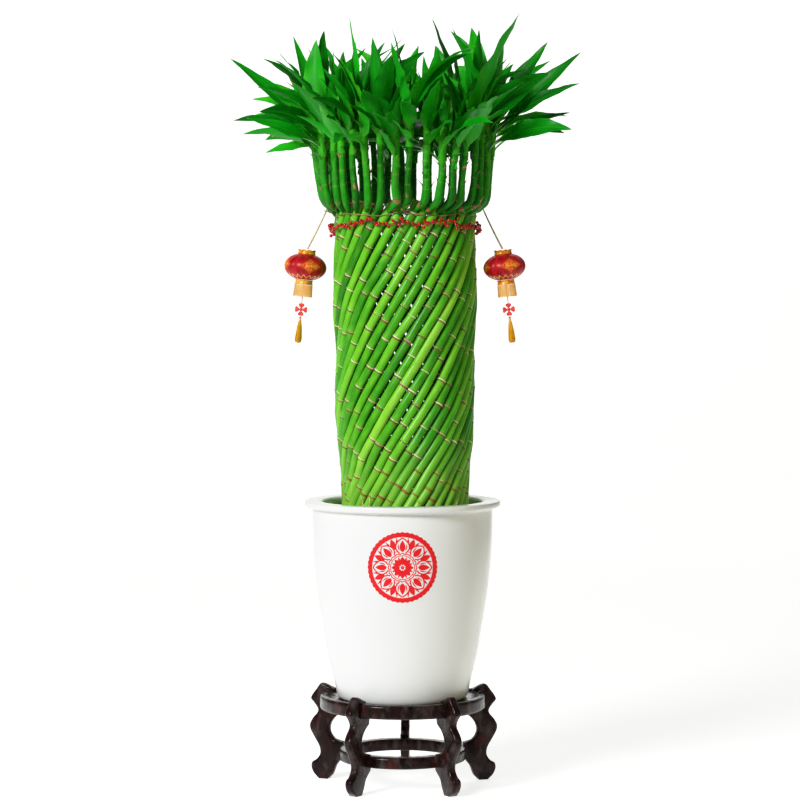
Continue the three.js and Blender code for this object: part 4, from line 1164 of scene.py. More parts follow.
def leaf_skin():
    """Glossy leaf with fine veins along it, a pale clasping base and a dry point."""
    material, tree, shader = new_material(
        "leaf_skin", (0.02, 0.22, 0.012), 0.38, Specular_IOR_Level=0.12, Subsurface_Weight=0.15,
        Subsurface_Scale=0.003)
    shader.inputs["Subsurface Radius"].default_value = (0.5, 1.0, 0.15)
    green = ragged_ramp(tree, "tone", reckon(tree, fibre_grain(tree, 0.05, 0.5), 0.6),
                        (0.25, (0.0005, 0.085, 0.003)), (0.5, (0.001, 0.215, 0.004)),
                        (0.75, (0.010, 0.38, 0.006)), (1.0, (0.07, 0.56, 0.014)))
    veins = ramp(tree, fibre_grain(tree, 1.1, 0.02), (0.38, 0.0), (0.68, 0.26))
    midrib = ramp(tree, reckon(tree, mark_of(tree, "across"), 1, "ABSOLUTE"), (0.0, 0.40), (0.10, 0.0))
    under = ramp(tree, mark_of(tree, "under"), (0.0, 0.0), (1.0, 0.45))
    base = ramp(tree, mark_of(tree, "along"), (0.0, 0.45), (0.06, 0.6), (0.16, 0.25), (0.30, 0.0))
    dry = ragged_ramp(tree, "along", reckon(tree, fibre_grain(tree, 0.5, 0.3), 0.03),
                      (0.985, 0.0), (0.998, 0.9))
    skin = layered(
        tree, green, (veins, (0.01, 0.46, 0.006)), (midrib, (0.03, 0.46, 0.010)),
        (under, (0.01, 0.36, 0.010)), (base, (0.07, 0.46, 0.014)), (dry, (0.35, 0.22, 0.07)))
    tree.links.new(skin, shader.inputs["Base Color"])
    tree.links.new(ramp(tree, fibre_grain(tree, 0.12, 0.3), (0.35, 0.30), (0.65, 0.46)),
                   shader.inputs["Roughness"])
    relief(tree, shader, fibre_grain(tree, 1.3, 0.02), 0.09)
    return material


def leaf_part(plan, leaf, skin, draw):
    """One leaf, from its sheath on the shoot to its point, with waves along both edges."""
    path = shoot_path(plan)
    up = unit(path[3] - path[2])
    root = leaf["root"]
    out = unit(root - path[3] - up * (root - path[3]).dot(up))
    level = unit(np.cross(up, out))
    centres, sides, ups, halves = blade_line(leaf, BLADE_PARTS)
    narrowed = np.clip(BLADE_PARTS / 0.2, 0, 1)
    halves = np.maximum(halves * (0.42 + 0.58 * narrowed * narrowed * (3 - 2 * narrowed)), 0.25)
    angles = OPEN_ANGLE + 0.9 * np.exp(-(BLADE_PARTS / 0.09) ** 2)
    steps = np.array([-1, -0.55, -0.15])
    sheath = root + out * (SHEATH_RADIUS - SHOOT_NECK_RADIUS * math.cos(math.pi / SHOOT_SIDES))
    sheath = sheath + np.outer(steps, up) * draw.uniform(*SHEATH_LENGTH)
    centres = np.concatenate([sheath, centres])
    sides = np.concatenate([np.tile(level, (3, 1)), sides])
    ups = np.concatenate([np.tile(-out, (3, 1)), ups])
    halves = np.concatenate([SHEATH_RADIUS * np.array([2.2, 1.7, 1.05]), halves])
    angles = np.concatenate([[2.2, 1.75, 1.35], angles])
    parts = np.concatenate([np.zeros(3), BLADE_PARTS])
    size = draw.uniform(*EDGE_WAVE, 2) * leaf["width"] / np.mean(LEAF_WIDTH)
    phase = draw.uniform(0, 2 * math.pi, 2)
    rate = draw.uniform(2.2, 4.2, 2) * 2 * math.pi
    reach = np.clip(np.sin(math.pi * parts), 0, 1) ** 0.7
    left, right = [
        (np.sin(phase[edge] + rate[edge] * parts)
         + 0.3 * np.sin(phase[1 - edge] + quick * rate[edge] * parts)) * size[edge] * reach
        for edge, quick in ((0, 2.7), (1, 2.3))]
    waves = np.where(BLADE_COLUMNS < 0, left[:, None], right[:, None]) * BLADE_COLUMNS ** 2
    points, faces, places, below, size = bladed(
        centres, sides, ups, halves, angles, VALLEY, waves, BLADE_THICKNESS)
    length = np.linalg.norm(leaf["tip"] - leaf["root"])
    along = np.repeat(parts, size)
    half = np.repeat(halves, size)
    fibre = np.column_stack([places * half, np.full(len(along), draw.uniform(0, 900)), along * length])
    tone = draw.uniform(-0.12, 0.52) + 0.08 * (leaf["band"] >= 2)
    marks = {"across": places, "under": below, "along": along, "tone": tone, "fibre": fibre}
    return points, faces, skin, marks


# More leaves than the outline needs: young ones high on each shoot, short and steep.
YOUNG_SEED = 77
YOUNG_LEAVES = 4
YOUNG_ROUNDS = 70
YOUNG_LENGTH = (46, 88)
YOUNG_WIDTH = (13, 22)
YOUNG_RISE = (28, 82)
YOUNG_CLEARANCE = 3.4
YOUNG_SISTER_CLEARANCE = 2.2
MOST_TWIST = 55


def twist_leaves(grown, taken):
    """Turns each blade about its midrib, most of them to show their faces, as far as stays clear."""
    draw = np.random.default_rng(YOUNG_SEED)
    for stalk, leaves in enumerate(grown):
        for leaf in leaves:
            way = 1 if math.cos(leaf["turn"]) > 0 else -1
            if leaf["tip"][1] > 50 and draw.uniform() < 0.5:
                way = -way
            flat = abs(math.cos(leaf["turn"]))
            for share in (1, 0.8, 0.6, 0.4, 0.2):
                leaf["twist"] = way * math.radians(MOST_TWIST) * share * (0.35 + 0.65 * flat)
                samples = blade_samples(leaf)
                if clear_of(samples, taken, stalk, YOUNG_CLEARANCE, YOUNG_SISTER_CLEARANCE, leaf["place"]):
                    taken["all"][leaf["place"]]["points"] = samples
                    taken["lows"][leaf["place"]] = samples.min(axis=0)
                    taken["highs"][leaf["place"]] = samples.max(axis=0)
                    break
            else:
                leaf["twist"] = 0.0


def add_young_leaves(plans, grown, taken):
    """Fills the crown with young leaves from the upper shoot, each where it stays clear."""
    draw = np.random.default_rng(YOUNG_SEED + 1)
    for _ in range(YOUNG_LEAVES):
        for plan in plans:
            path = shoot_path(plan)
            up = unit(path[3] - path[2])
            for tries in range(YOUNG_ROUNDS):
                turn = draw.uniform(0, 2 * math.pi)
                rise = math.radians(draw.uniform(*YOUNG_RISE))
                short = 1 - 0.35 * tries / YOUNG_ROUNDS
                length, width = draw.uniform(*YOUNG_LENGTH) * short, draw.uniform(*YOUNG_WIDTH) * short
                out = unit(np.cross(np.cross(up, way_of(turn, 0)), up))
                root = path[3] + up * draw.uniform(-34, 14) + out * 3.6
                steeper = min(rise + math.radians(draw.uniform(5, 32)), math.radians(STEEPEST))
                bend = root + way_of(turn, steeper) * length * 0.5
                bend += level_of(turn) * draw.uniform(-6, 6)
                leaf = {"band": 3, "root": root, "bend": bend, "tip": root + way_of(turn, rise) * length,
                        "turn": turn, "width": width, "roll": math.radians(draw.uniform(-45, 45))}
                samples = blade_samples(leaf)
                if fits_crown(samples) and clear_of(
                        samples, taken, plan["stalk"], YOUNG_CLEARANCE, YOUNG_SISTER_CLEARANCE):
                    grown[plan["stalk"]].append(leaf)
                    let_stand(taken, plan["stalk"], samples, INNER_SAMPLES)
                    break


leaf_material = leaf_skin()
grown, standing_leaves = grow_leaves(plans)
twist_leaves(grown, standing_leaves)
add_young_leaves(plans, grown, standing_leaves)
stalk_draw = np.random.default_rng(CANE_SEED)
for plan in plans:
    parts = [cane_parts(plan, cane_material, stalk_draw), *shoot_parts(plan, shoot_material, stalk_draw)]
    for leaf in grown[plan["stalk"]]:
        parts.append(leaf_part(plan, leaf, leaf_material, stalk_draw))
    number = f"{plan['stalk'] + 1:02d}"
    add_piece(f"stalk_{number}_grown", parts, [f"stalk_{number}"], sharp=50)

# Red tie
# Small glossy beads in loose clusters on thin red wire, wound once round the canes under their
# shoots and twisted on itself, so that it holds the cage shut. A few beads hang on loose ends.

TIE_RADIUS = 89.2
TIE_HEIGHT = 682
TIE_SWAYS = ((2.6, 5), (1.2, 11))
TIE_ARCH = 2.5
WIRE_TWISTS = 42
BEAD_RADIUS = 2.4
WIRE_RADIUS = 0.45
HANGING_BEADS = 9
TIE_SEED = 8


def ball(centre, radius, stretch=(1, 1, 1)):
    """Points and faces of a small ball or a stretched one."""
    rings, sides = 8, 12
    angle = np.arange(sides) * 2 * math.pi / sides
    points = [(0, 0, 1)]
    for tilt in np.linspace(0, math.pi, rings + 1)[1:-1]:
        points += list(zip(np.sin(tilt) * np.cos(angle), np.sin(tilt) * np.sin(angle),
                           np.full(sides, np.cos(tilt))))
    points.append((0, 0, -1))
    faces = [(0, 1 + j, 1 + (j + 1) % sides) for j in range(sides)]
    for i in range(rings - 2):
        for j in range(sides):
            a, b = 1 + i * sides + j, 1 + i * sides + (j + 1) % sides
            faces.append((a, a + sides, b + sides, b))
    last = len(points) - 1
    first = last - sides
    faces += [(last, first + (j + 1) % sides, first + j) for j in range(sides)]
    return np.array(points) * radius * np.array(stretch) + centre, faces


def strand(line, radius, sides, material):
    """A part for add_piece: a round strand along a line, of one radius or of one at each point."""
    points, faces, *_ = tube(np.asarray(line, float), np.broadcast_to(radius, len(line)), sides)
    return points, faces, material, {}


def tie_height(turn):
    """The height of the tie's wire at a turn in degrees: higher in front and behind than beside."""
    height = TIE_HEIGHT - TIE_ARCH * np.cos(np.radians(2 * turn))
    for sway, waves in TIE_SWAYS:
        height = height + sway * np.sin(np.radians(waves * turn))
    return height


def tie_parts(glass, wire):
    draw = np.random.default_rng(TIE_SEED)
    parts = []
    turns = np.linspace(0, 360, 721)
    for start in (0, math.pi):
        twist = np.radians(turns * WIRE_TWISTS) + start
        centres = ring_point(TIE_RADIUS + 0.5 * np.cos(twist), turns, tie_height(turns) + 0.7 * np.sin(twist))
        points, faces, *_ = strand(centres, WIRE_RADIUS, 6, wire)
        parts.append((points, faces[2:], wire, {}))
    turn = 0.0
    while turn < 359:
        cluster = draw.integers(1, 4)
        for _ in range(cluster):
            radius = BEAD_RADIUS * draw.uniform(0.82, 1.08)
            away = draw.uniform(-0.2, 2.6)
            rise = draw.normal(0, 2.2)
            place = ring_point(TIE_RADIUS + away, turn + draw.uniform(-0.5, 0.5), tie_height(turn) + rise)
            parts.append((*ball(place, radius, (1, 1, draw.uniform(0.85, 1.05))), glass, {}))
            turn += draw.uniform(1.3, 2.5)
        turn += draw.uniform(0.2, 2.4)
    for _ in range(HANGING_BEADS):
        turn = draw.uniform(0, 360)
        drop = draw.uniform(4, 8)
        top = ring_point(TIE_RADIUS + 0.6, turn, tie_height(turn))
        foot = ring_point(TIE_RADIUS + 1.6, turn + draw.uniform(-2, 2), tie_height(turn) - drop)
        parts.append(strand(np.linspace(top, foot, 5), 0.3, 6, wire))
        parts.append((*ball(foot, BEAD_RADIUS * 0.9), glass, {}))
    return parts


# Glossy red glass, mottled with darker red as painted shade, and enamelled wire in dark red.
bead_glass = grained_material(
    "bead_red", (0.55, 0.008, 0.010), 0.12, (500, 2),
    [(0.35, (0.28, 0.001, 0.003)), (0.65, (0.66, 0.006, 0.008))],
    (900, 2), 0.08, Specular_IOR_Level=0.3, Coat_Weight=0.3, Coat_Roughness=0.05)
red_wire = grained_material(
    "wire_red", (0.32, 0.01, 0.012), 0.3, (700, 3),
    [(0.4, (0.22, 0.004, 0.006)), (0.6, (0.42, 0.012, 0.012))], (1200, 2), 0.05)
add_piece("tie_of_beads", tie_parts(bead_glass, red_wire), ["tie"])

# Twine
# A thin twine of split leaf, wound once round the cane tops above the beads. It held the canes
# together before the tie went on, and has dried tan, with brown and still green patches.

TWINE_HEIGHT = 694
TWINE_RADIUS = 0.6
TWINE_SEED = 12


def tan_twine():
    """Dry split leaf, tan with brown and still green patches."""
    material, tree, shader = new_material("tan_twine", (0.45, 0.27, 0.11), 0.6)
    fibres = ramp(tree, fibre_grain(tree, 0.7, 0.1, 4), (0.40, (0.05, 0.06, 0.012)),
                  (0.5, (0.26, 0.13, 0.045)), (0.64, (0.46, 0.30, 0.13)))
    tree.links.new(fibres, shader.inputs["Base Color"])
    relief(tree, shader, fibre_grain(tree, 1.5, 0.1), 0.2)
    return material


def twine_part():
    draw = np.random.default_rng(TWINE_SEED)
    turns = np.linspace(0, 360, 361)
    sway = np.radians(turns * 7)
    heights = TWINE_HEIGHT + 1.3 * np.sin(sway) + 0.6 * np.sin(2 * sway)
    centres = ring_point(cage_radius(heights) + CANE_RADIUS + 0.5, turns, heights)
    thickness = TWINE_RADIUS * (1 + 0.25 * np.sin(5 * sway) + draw.uniform(-0.1, 0.1, len(turns)))
    points, faces, loop, angle = tube(centres, thickness, 8)
    fibre = np.column_stack([np.cos(angle), np.sin(angle), turns[loop] * 1.5])
    return points, faces, tan_twine(), {"fibre": fibre}


add_piece("tie_of_twine", [twine_part()])

# Lantern ornaments, the lobed bodies
# Two small lanterns lean out from the cage on thin sticks. Each body is glossy red paper pressed
# over a light form into soft lobes, with printed gold scrolls and a gold zigzag low down.

LANTERN_LEAN = 6
LANTERN_REACH = 121
LANTERN_HEIGHT = 632
LANTERN_BODY_RADIUS = 26.1
LANTERN_BODY_HALF = 17
LANTERN_END = 65
LANTERN_SEAT = LANTERN_BODY_HALF * math.sin(math.radians(LANTERN_END))
LANTERN_LOBES = 12
BODY_SEGMENTS = 120
# The side, the sign of its X, and the turn, radius and height of the seat of its stick.
LANTERN_SIDES = (("left", -1, 177, 94, 704), ("right", 1, 0.5, 95, 702))


def hung(points, sign):
    """Moves what is built round an upright axis to the lantern's own leaning place."""
    lean = -sign * math.radians(LANTERN_LEAN)
    x, y, z = np.asarray(points, float).T
    return np.column_stack([
        x * math.cos(lean) + z * math.sin(lean) + CAGE_SHIFT + sign * LANTERN_REACH, y,
        z * math.cos(lean) - x * math.sin(lean) + LANTERN_HEIGHT])


def hang_pair(slot, *pieces):
    """Hangs pieces on both lanterns. Each has its name, the name of its node, and its parts."""
    for side, sign, *_ in LANTERN_SIDES:
        for name, node, parts in pieces:
            placed = [(hung(points, sign), *rest) for points, *rest in parts]
            add_piece(f"lantern_{side}_{name}", placed, [f"lantern_{side}_{node}"])


def lantern_red():
    """Red paper with a gold print: scrolls in lozenges on four sides, and a zigzag near the bottom."""
    material, tree, shader = new_material(
        "lantern_red", (0.5, 0.008, 0.01), 0.34, Specular_IOR_Level=0.22, Coat_Weight=0.06,
        Coat_Roughness=0.15)
    paper = ramp(tree, fibre_grain(tree, 0.14, 0.4), (0.35, (0.27, 0.002, 0.008)),
                 (0.6, (0.52, 0.004, 0.010)), (0.75, (0.70, 0.012, 0.012)))
    place = add_node(tree, "ShaderNodeSeparateXYZ", {"Vector": mark_of(tree, "fibre", "Vector")})
    around, height = place.outputs["X"], place.outputs["Z"]
    level = reckon(tree, reckon(tree, height, 1.5, "SUBTRACT"), 1, "ABSOLUTE")
    aside = reckon(tree, reckon(tree, around, 33.5, "ADD"), 20.42, "PINGPONG")
    apart = reckon(tree, reckon(tree, aside, 0.052), reckon(tree, level, 0.085), "ADD")
    glow = ramp(tree, apart, (0.2, 0.75), (0.9, 0.0))
    paper = blend_colours(tree, glow, paper, (0.90, 0.11, 0.008))
    warped = fibre_grain(tree, 0.34, 1.0, 2, distortion=1.6)
    scrolls = reckon(tree, ramp(tree, warped, (0.46, 0.0), (0.54, 1)), ramp(tree, apart, (0.3, 1), (0.8, 0)))
    teeth = reckon(tree, reckon(tree, around, 4.6, "PINGPONG"), 0.85)
    wave = reckon(tree, reckon(tree, height, teeth, "SUBTRACT"), 13.6, "ADD")
    lines = ramp(tree, reckon(tree, reckon(tree, wave, 1, "ABSOLUTE"), 0.2), (0.12, 1), (0.17, 0))
    gold = reckon(tree, scrolls, lines, "MAXIMUM")
    skin = blend_colours(tree, gold, paper, (0.94, 0.41, 0.05))
    tree.links.new(skin, shader.inputs["Base Color"])
    tree.links.new(reckon(tree, gold, 0.12), shader.inputs["Metallic"])
    relief(tree, shader, fibre_grain(tree, 0.7, 1.0), 0.12)
    return material


def lobed_body():
    """The lantern's oval body with soft lobes, its flat ends, and its marks."""
    tilts = np.radians(np.linspace(-LANTERN_END, LANTERN_END, 29))
    profile = np.column_stack([LANTERN_BODY_RADIUS * np.cos(tilts), LANTERN_BODY_HALF * np.sin(tilts)])
    profile = np.concatenate([[(0, -LANTERN_SEAT)], profile, [(0, LANTERN_SEAT)]])
    points, faces = turned(profile, BODY_SEGMENTS, closed=False)
    angle = np.arctan2(points[:, 1], points[:, 0])
    lobe = 1 - 0.028 * (1 - np.abs(np.sin(angle * LANTERN_LOBES / 2))) ** 1.5
    points[:, :2] *= lobe[:, None]
    fibre = np.column_stack([angle * 26, np.zeros(len(points)), points[:, 2]])
    return points, faces, lantern_red(), {"fibre": fibre}


hang_pair("red_paper", ("lobed_body", "body", [lobed_body()]))

# Lantern ornaments, the gold caps
# Pressed gold foil caps close the body above and below. The upper one has a waved crown, and the
# lower one is a plain band that the fringe hangs from.

CAP_HEIGHT = 5.6
CAP_RADIUS = 11.4
CAP_GAP = 0.3
CAP_SEGMENTS = 96


def gold_sheet():
    """Bright gold foil, pressed uneven, with brown patches as painted shade for its folds."""
    material, tree, shader = new_material("gold_sheet", (0.86, 0.42, 0.05), 0.25, Metallic=0.15)
    # The brown end of this run is painted shade for the folds, laid in random patches.
    foil = ramp(tree, grain(tree, 240, 4, distortion=0.5), (0.32, (0.45, 0.11, 0.010)),
                (0.5, (0.93, 0.31, 0.010)), (0.68, (1.0, 0.56, 0.06)))
    tree.links.new(foil, shader.inputs["Base Color"])
    tree.links.new(ramp(tree, grain(tree, 300, 3), (0.35, 0.16), (0.65, 0.4)), shader.inputs["Roughness"])
    relief(tree, shader, grain(tree, 300, 3), 0.5)
    return material


def cap(turned_over):
    """A cap with a drawn-in waist and a waved crown, or a plainer one turned over under the body."""
    crown = CAP_HEIGHT
    outline = [(0, 0), (CAP_RADIUS - 1.2, 0), (CAP_RADIUS - 0.3, 0.9), (CAP_RADIUS - 1.1, 2.6),
               (CAP_RADIUS - 0.6, crown - 1.2), (CAP_RADIUS, crown), (CAP_RADIUS - 0.8, crown),
               (CAP_RADIUS - 1.6, crown - 1.6), (0, crown - 1.6)]
    profile = rounded(outline, (0, 0.5, 0.6, 1.2, 0.8, 0.2, 0.2, 0.8, 0), closed=False)
    points, faces = turned(profile, CAP_SEGMENTS, closed=False)
    seat = (0, 0, LANTERN_SEAT + CAP_GAP)
    if turned_over:
        points[:, 2] = -points[:, 2]
        return points - seat, [face[::-1] for face in faces]
    angle = np.arctan2(points[:, 1], points[:, 0])
    wave = 0.5 * np.cos(angle * 10) * np.clip(points[:, 2] / crown, 0, 1) ** 3
    points[:, 2] += np.where(np.hypot(points[:, 0], points[:, 1]) > 8, wave - 0.5, 0)
    return points + seat, faces


foil = gold_sheet()
hang_pair("gold_foil", ("crown_cap", "top_cap", [(*cap(False), foil, {})]),
          ("band_cap", "bottom_cap", [(*cap(True), foil, {})]))

# Lantern ornaments, the fringes
# A ring of narrow strips of thin orange film, glued inside the lower cap. They hang straight and
# side by side, so the light comes through between them.

FRINGE_TOP = -LANTERN_SEAT - CAP_HEIGHT - 2 * CAP_GAP
FRINGE_LENGTH = 15
FRINGE_RADIUS = 11.7
FRINGE_STRIPS = 72
FRINGE_SEED = 31


def fringe_parts(film):
    draw = np.random.default_rng(FRINGE_SEED)
    stations = np.linspace(0, 1, 7)
    radii = CAP_RADIUS - 0.5 + (FRINGE_RADIUS - CAP_RADIUS + 0.5) * stations ** 0.8
    half_turn = 0.44 / radii
    parts = []
    for strip in range(FRINGE_STRIPS):
        turn = 2 * math.pi * strip / FRINGE_STRIPS + draw.uniform(-0.01, 0.01)
        turns = turn + draw.uniform(-0.02, 0.02) * stations ** 2
        length = FRINGE_LENGTH * draw.uniform(0.96, 1.0)
        corners = []
        for thickness, way in ((0, -1), (0, 1), (0.14, 1), (0.14, -1)):
            reach, angles = radii + thickness, turns + way * half_turn
            corners.append(np.column_stack([
                reach * np.cos(angles), reach * np.sin(angles), FRINGE_TOP - stations * length]))
        parts.append((*lofted(np.stack(corners, axis=1)), film, {}))
    return parts


# Thin pale orange film with fine lines down it.
orange_film = grained_material(
    "orange_film", (0.85, 0.42, 0.12), 0.3, (600, 2, (1, 1, 0.1)),
    [(0.35, (1.0, 0.63, 0.20)), (0.65, (1.0, 0.80, 0.45))], Transmission_Weight=0.7, IOR=1.15)
hang_pair("gold_foil", ("fringe", "skirt", fringe_parts(orange_film)))

# Lantern ornaments, the knots
# A twisted red thread runs down from the lower cap and is tied in a flat knot with four petals,
# each of three nested loops, round a woven heart.

KNOT_DROP = 52
KNOT_REACH = 7.6


def petal_loop(size, turn):
    """One loop of cord of a petal, wide at its outer end, in the knot's upright plane."""
    outline = np.array([(0, 2.7), (1.0, 3.1), (2.4, 4.6), (2.9, 6.2), (1.6, 7.0), (0, 6.7), (-1.6, 7.0),
                        (-2.9, 6.2), (-2.4, 4.6), (-1.0, 3.1)])
    middle = np.array([0, 5.0])
    outline = middle + (outline - middle) * size
    closed = np.concatenate([outline, outline[:1]])
    line = np.array(swung(outline[-1], closed, outline[1]))
    cos, sin = math.cos(turn), math.sin(turn)
    across = line[:, 0] * cos - line[:, 1] * sin
    up = line[:, 0] * sin + line[:, 1] * cos
    return np.column_stack([across, np.zeros(len(line)), up])


def knot_parts(cord):
    heights = np.linspace(FRINGE_TOP, -KNOT_DROP + 1.5, 60)
    parts = []
    for start in (0, math.pi):
        twist = (FRINGE_TOP - heights) * 2.2 + start
        ply = np.column_stack([0.3 * np.cos(twist), 0.3 * np.sin(twist), heights])
        parts.append(strand(ply, 0.36, 6, cord))
    middle = (0, 0, -KNOT_DROP)
    for petal in range(4):
        for size in (1.02, 0.62, 0.22):
            parts.append(strand(petal_loop(size, petal * math.pi / 2) + middle, 0.7, 6, cord))
    for row in (-1.15, 0, 1.15):
        steps = np.linspace(-1.6, 1.6, 9) if row else np.linspace(-2.6, 2.6, 9)
        over = 0.6 * np.cos((steps + row) * math.pi)
        level = np.full(9, row)
        parts.append(strand(np.column_stack([steps, over, level]) + middle, 0.6, 6, cord))
        parts.append(strand(np.column_stack([level, -over, steps]) + middle, 0.6, 6, cord))
    return parts


# Rayon cord with its twist showing.
red_cord = grained_material(
    "thread_red", (0.80, 0.06, 0.035), 0.5, (900, 2, (1, 1, 0.4)),
    [(0.38, (0.72, 0.030, 0.022)), (0.62, (0.95, 0.10, 0.07))], (1100, 2), 0.25, Sheen_Weight=0.3)
hang_pair("red_thread", ("corded_knot", "knot", knot_parts(red_cord)))

# Lantern ornaments, the tassels
# An orange bead and a gold one under the knot, and then a bundle of gold rayon threads, bound at
# its neck and cut level at the foot.

TASSEL_FOOT = 93
TASSEL_STRANDS = 150
BINDING_TURNS = 6
TASSEL_SEED = 17


def tassel_parts(thread, bead, gold):
    draw = np.random.default_rng(TASSEL_SEED)
    knot_foot = -KNOT_DROP - KNOT_REACH - CAP_GAP
    neck = knot_foot - 6.4
    binding = np.linspace(0, BINDING_TURNS * 2 * math.pi, 97)
    coil = np.column_stack([
        1.75 * np.cos(binding), 1.75 * np.sin(binding), neck - 0.3 * binding / 2 / math.pi])
    parts = [(*ball((0, 0, knot_foot - 1.9), 1.7), bead, {}),
             (*ball((0, 0, knot_foot - 4.9), 1.85, (1, 1, 0.85)), gold, {}), strand(coil, 0.3, 6, gold)]
    stations = np.linspace(0, 1, 9)
    spread = 1.4 + 3.4 * stations ** 0.6 - 0.5 * np.clip((stations - 0.88) / 0.12, 0, 1)
    for _ in range(TASSEL_STRANDS):
        reach = math.sqrt(draw.uniform(0.04, 1))
        turn = draw.uniform(0, 2 * math.pi)
        turns = turn + draw.uniform(-0.35, 0.35) * stations
        foot = TASSEL_FOOT - draw.uniform(0, 0.8) - 2.2 * reach ** 3
        heights = neck + (-foot - neck) * stations
        line = np.column_stack([reach * spread * np.cos(turns), reach * spread * np.sin(turns), heights])
        parts.append(strand(line, 0.24, 4, thread))
    return parts


# Golden rayon, brighter along the strands that stand out, and a small glossy orange bead.
gold_rayon = grained_material(
    "thread_gold", (0.66, 0.33, 0.03), 0.5, (900, 2, (1, 1, 0.05)),
    [(0.35, (0.78, 0.33, 0.005)), (0.65, (1.0, 0.60, 0.018))],
    (1300, 2, (1, 1, 0.05)), 0.2, Sheen_Weight=0.08, Specular_IOR_Level=0.25)
orange_bead = grained_material(
    "bead_orange", (0.85, 0.20, 0.02), 0.2, (500, 2),
    [(0.4, (0.74, 0.13, 0.01)), (0.6, (0.92, 0.28, 0.04))], Coat_Weight=0.4)
hang_pair("gold_thread", ("strand_tassel", "tassel", tassel_parts(gold_rayon, orange_bead, foil)))

# Lantern ornaments, the sticks
# A split bamboo stick carries each lantern. It is pushed into the upper cap and slants up to the
# foot of a shoot, where the tie and the leaves hold it.

STICK_RADIUS = 1.3

# Dry tan bamboo with its fibres along the stick.
bamboo = grained_material(
    "split_bamboo", (0.58, 0.40, 0.20), 0.6, (700, 3, (1, 1, 0.12)),
    [(0.35, (0.52, 0.35, 0.16)), (0.65, (0.80, 0.64, 0.38))], (900, 2, (1, 1, 0.1)), 0.15)
stations = np.linspace(0, 1, 24)
for side, sign, seat_turn, seat_radius, seat_height in LANTERN_SIDES:
    foot = hung([(0, 0, LANTERN_SEAT + CAP_HEIGHT + CAP_GAP + STICK_RADIUS / 3)], sign)[0]
    seat = ring_point(seat_radius, seat_turn, seat_height)
    bow = 0.5 * np.sin(math.pi * stations)[:, None] * np.array([-sign * 0.5, 0, -1])
    line = foot + (seat - foot) * stations[:, None] + bow
    thickness = STICK_RADIUS * (1 - 0.22 * stations) * (1 + 0.03 * np.sin(stations * 31))
    add_piece(f"lantern_{side}_split_stick", [strand(line, thickness, 10, bamboo)],
              [f"lantern_{side}_stick"])

# Floor and backdrop, lights and camera
# A wide sweep of plain pale card, which glows by itself beside and behind the object, so that both
# come out white. A large soft light stands on the left, and a weak yellow one on the right.

CAMERA_DISTANCE = 3400
EYE_HEIGHT = 616
TILT_DOWN = 2.458
FOCAL_PIXELS = 2791.9
PHOTO_SIZE = 800
AXIS_OFFSET = 2.5


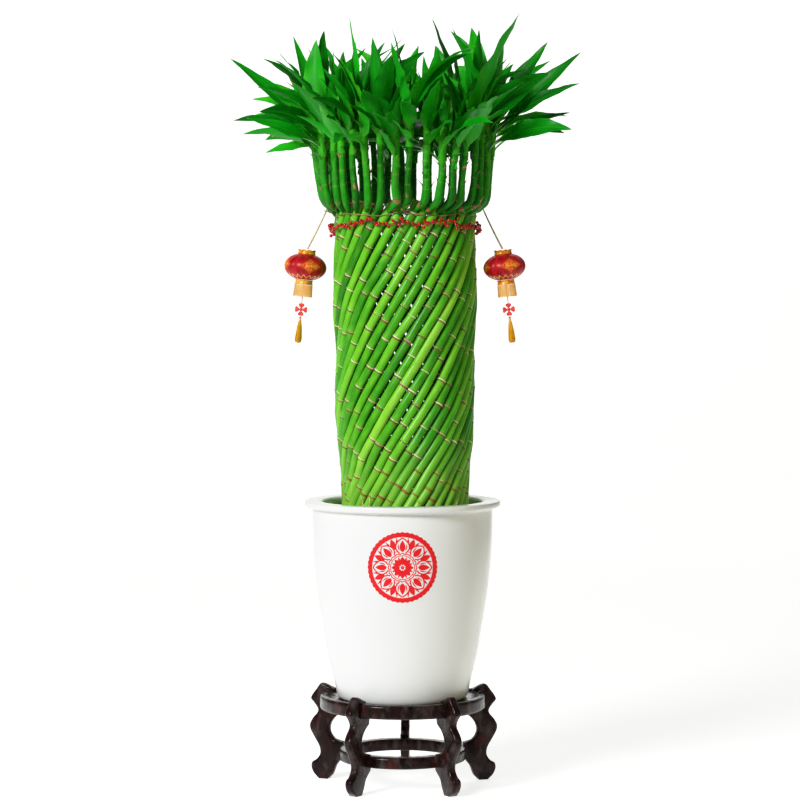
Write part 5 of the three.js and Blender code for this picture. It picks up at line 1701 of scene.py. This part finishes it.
def studio_floor():
    """A floor that bends up into a backdrop behind the object."""
    width, front, back, height, bend = 30.0, -15.0, 3.0, 6.0, 1.5
    profile = [(front, 0)]
    for angle in np.linspace(0, math.pi / 2, 17):
        profile.append((back + bend * math.sin(angle), bend - bend * math.cos(angle)))
    profile.append((back + bend, height))
    points = [(side * width / 2, y, z) for y, z in profile for side in (-1, 1)]
    faces = [(2 * i, 2 * i + 1, 2 * i + 3, 2 * i + 2) for i in range(len(profile) - 1)]
    mesh = bpy.data.meshes.new("studio_floor")
    mesh.from_pydata(points, [], faces)
    material, tree, shader = new_material("pale_floor", (0.94, 0.94, 0.94), 0.8, Specular_IOR_Level=0.1,
                                          Emission_Strength=0.72)
    place = add_node(tree, "ShaderNodeSeparateXYZ", {"Vector": own_place(tree)}).outputs
    nearness = reckon(tree, place["Y"], 1.0, "ADD")
    aside = reckon(tree, reckon(tree, place["X"], 0, "ABSOLUTE"), 0.5)
    beside = ramp(tree, aside, (0.58, 1.0), (0.70, 0.5), (0.85, 0.2), (1.0, 0.0))
    behind = ramp(tree, nearness, (0.40, 0.0), (0.70, 0.15), (0.80, 0.45), (0.88, 1.0))
    tree.links.new(reckon(tree, beside, behind), shader.inputs["Emission Color"])
    pale = ramp(tree, grain(tree, 3, 2), (0.3, 0.92), (0.7, 0.95))
    dim = ramp(tree, nearness, (0.40, 1.0), (0.86, 0.0))
    tree.links.new(blend_colours(tree, dim, pale, (0.6, 0.59, 0.55)), shader.inputs["Base Color"])
    mesh.materials.append(material)
    mesh.shade_smooth()
    floor = bpy.data.objects.new("studio_floor", mesh)
    bpy.context.collection.objects.link(floor)


def soft_light(name, place, aim, size, power, colour):
    """A square soft light at a place, turned to its aim."""
    lamp = bpy.data.lights.new(name, "AREA")
    lamp.shape = "SQUARE"
    lamp.size = size
    lamp.energy = power
    lamp.color = colour
    light = bpy.data.objects.new(name, lamp)
    light.location = place
    way = np.array(aim) - np.array(place)
    light.rotation_euler = (
        math.atan2(math.hypot(way[0], way[1]), -way[2]), 0, math.atan2(way[1], way[0]) - math.pi / 2)
    bpy.context.collection.objects.link(light)


studio_floor()
soft_light("key_light", (-2.6, -3.3, 2.4), (0, 0, 0.5), 1.3, 220, (0.965, 0.985, 1.0))
soft_light("fill_light", (3.6, -1.6, 1.3), (0, 0, 0.45), 2.0, 14, (0.98, 0.90, 0.30))

world = bpy.data.worlds.new("studio_air")
world.use_nodes = True
world.node_tree.nodes["Background"].inputs["Color"].default_value = (1.0, 0.985, 0.87, 1)
world.node_tree.nodes["Background"].inputs["Strength"].default_value = 0.14
bpy.context.scene.world = world

# The film of the picture: true tones up to light grey, and a soft shoulder above it, so that the
# white glaze keeps its edge against the white backdrop.
tones = bpy.context.scene.view_settings
tones.view_transform = "Standard"
tones.use_curve_mapping = True
tones.curve_mapping.white_level = (1.25, 1.25, 1.25)
shoulder = tones.curve_mapping.curves[3].points
for light, tone in ((0.3, 0.375), (0.6, 0.75), (0.74, 0.885), (0.9, 0.955)):
    shoulder.new(light, tone)
tones.curve_mapping.update()

lens = bpy.data.cameras.new("camera")
lens.sensor_width = 36
lens.lens = FOCAL_PIXELS / PHOTO_SIZE * lens.sensor_width
lens.shift_x = -AXIS_OFFSET / PHOTO_SIZE
camera = bpy.data.objects.new("camera", lens)
camera.location = (0, -CAMERA_DISTANCE * MM, EYE_HEIGHT * MM)
camera.rotation_euler = (math.radians(90 - TILT_DOWN), 0, 0)
bpy.context.collection.objects.link(camera)
bpy.context.scene.camera = camera
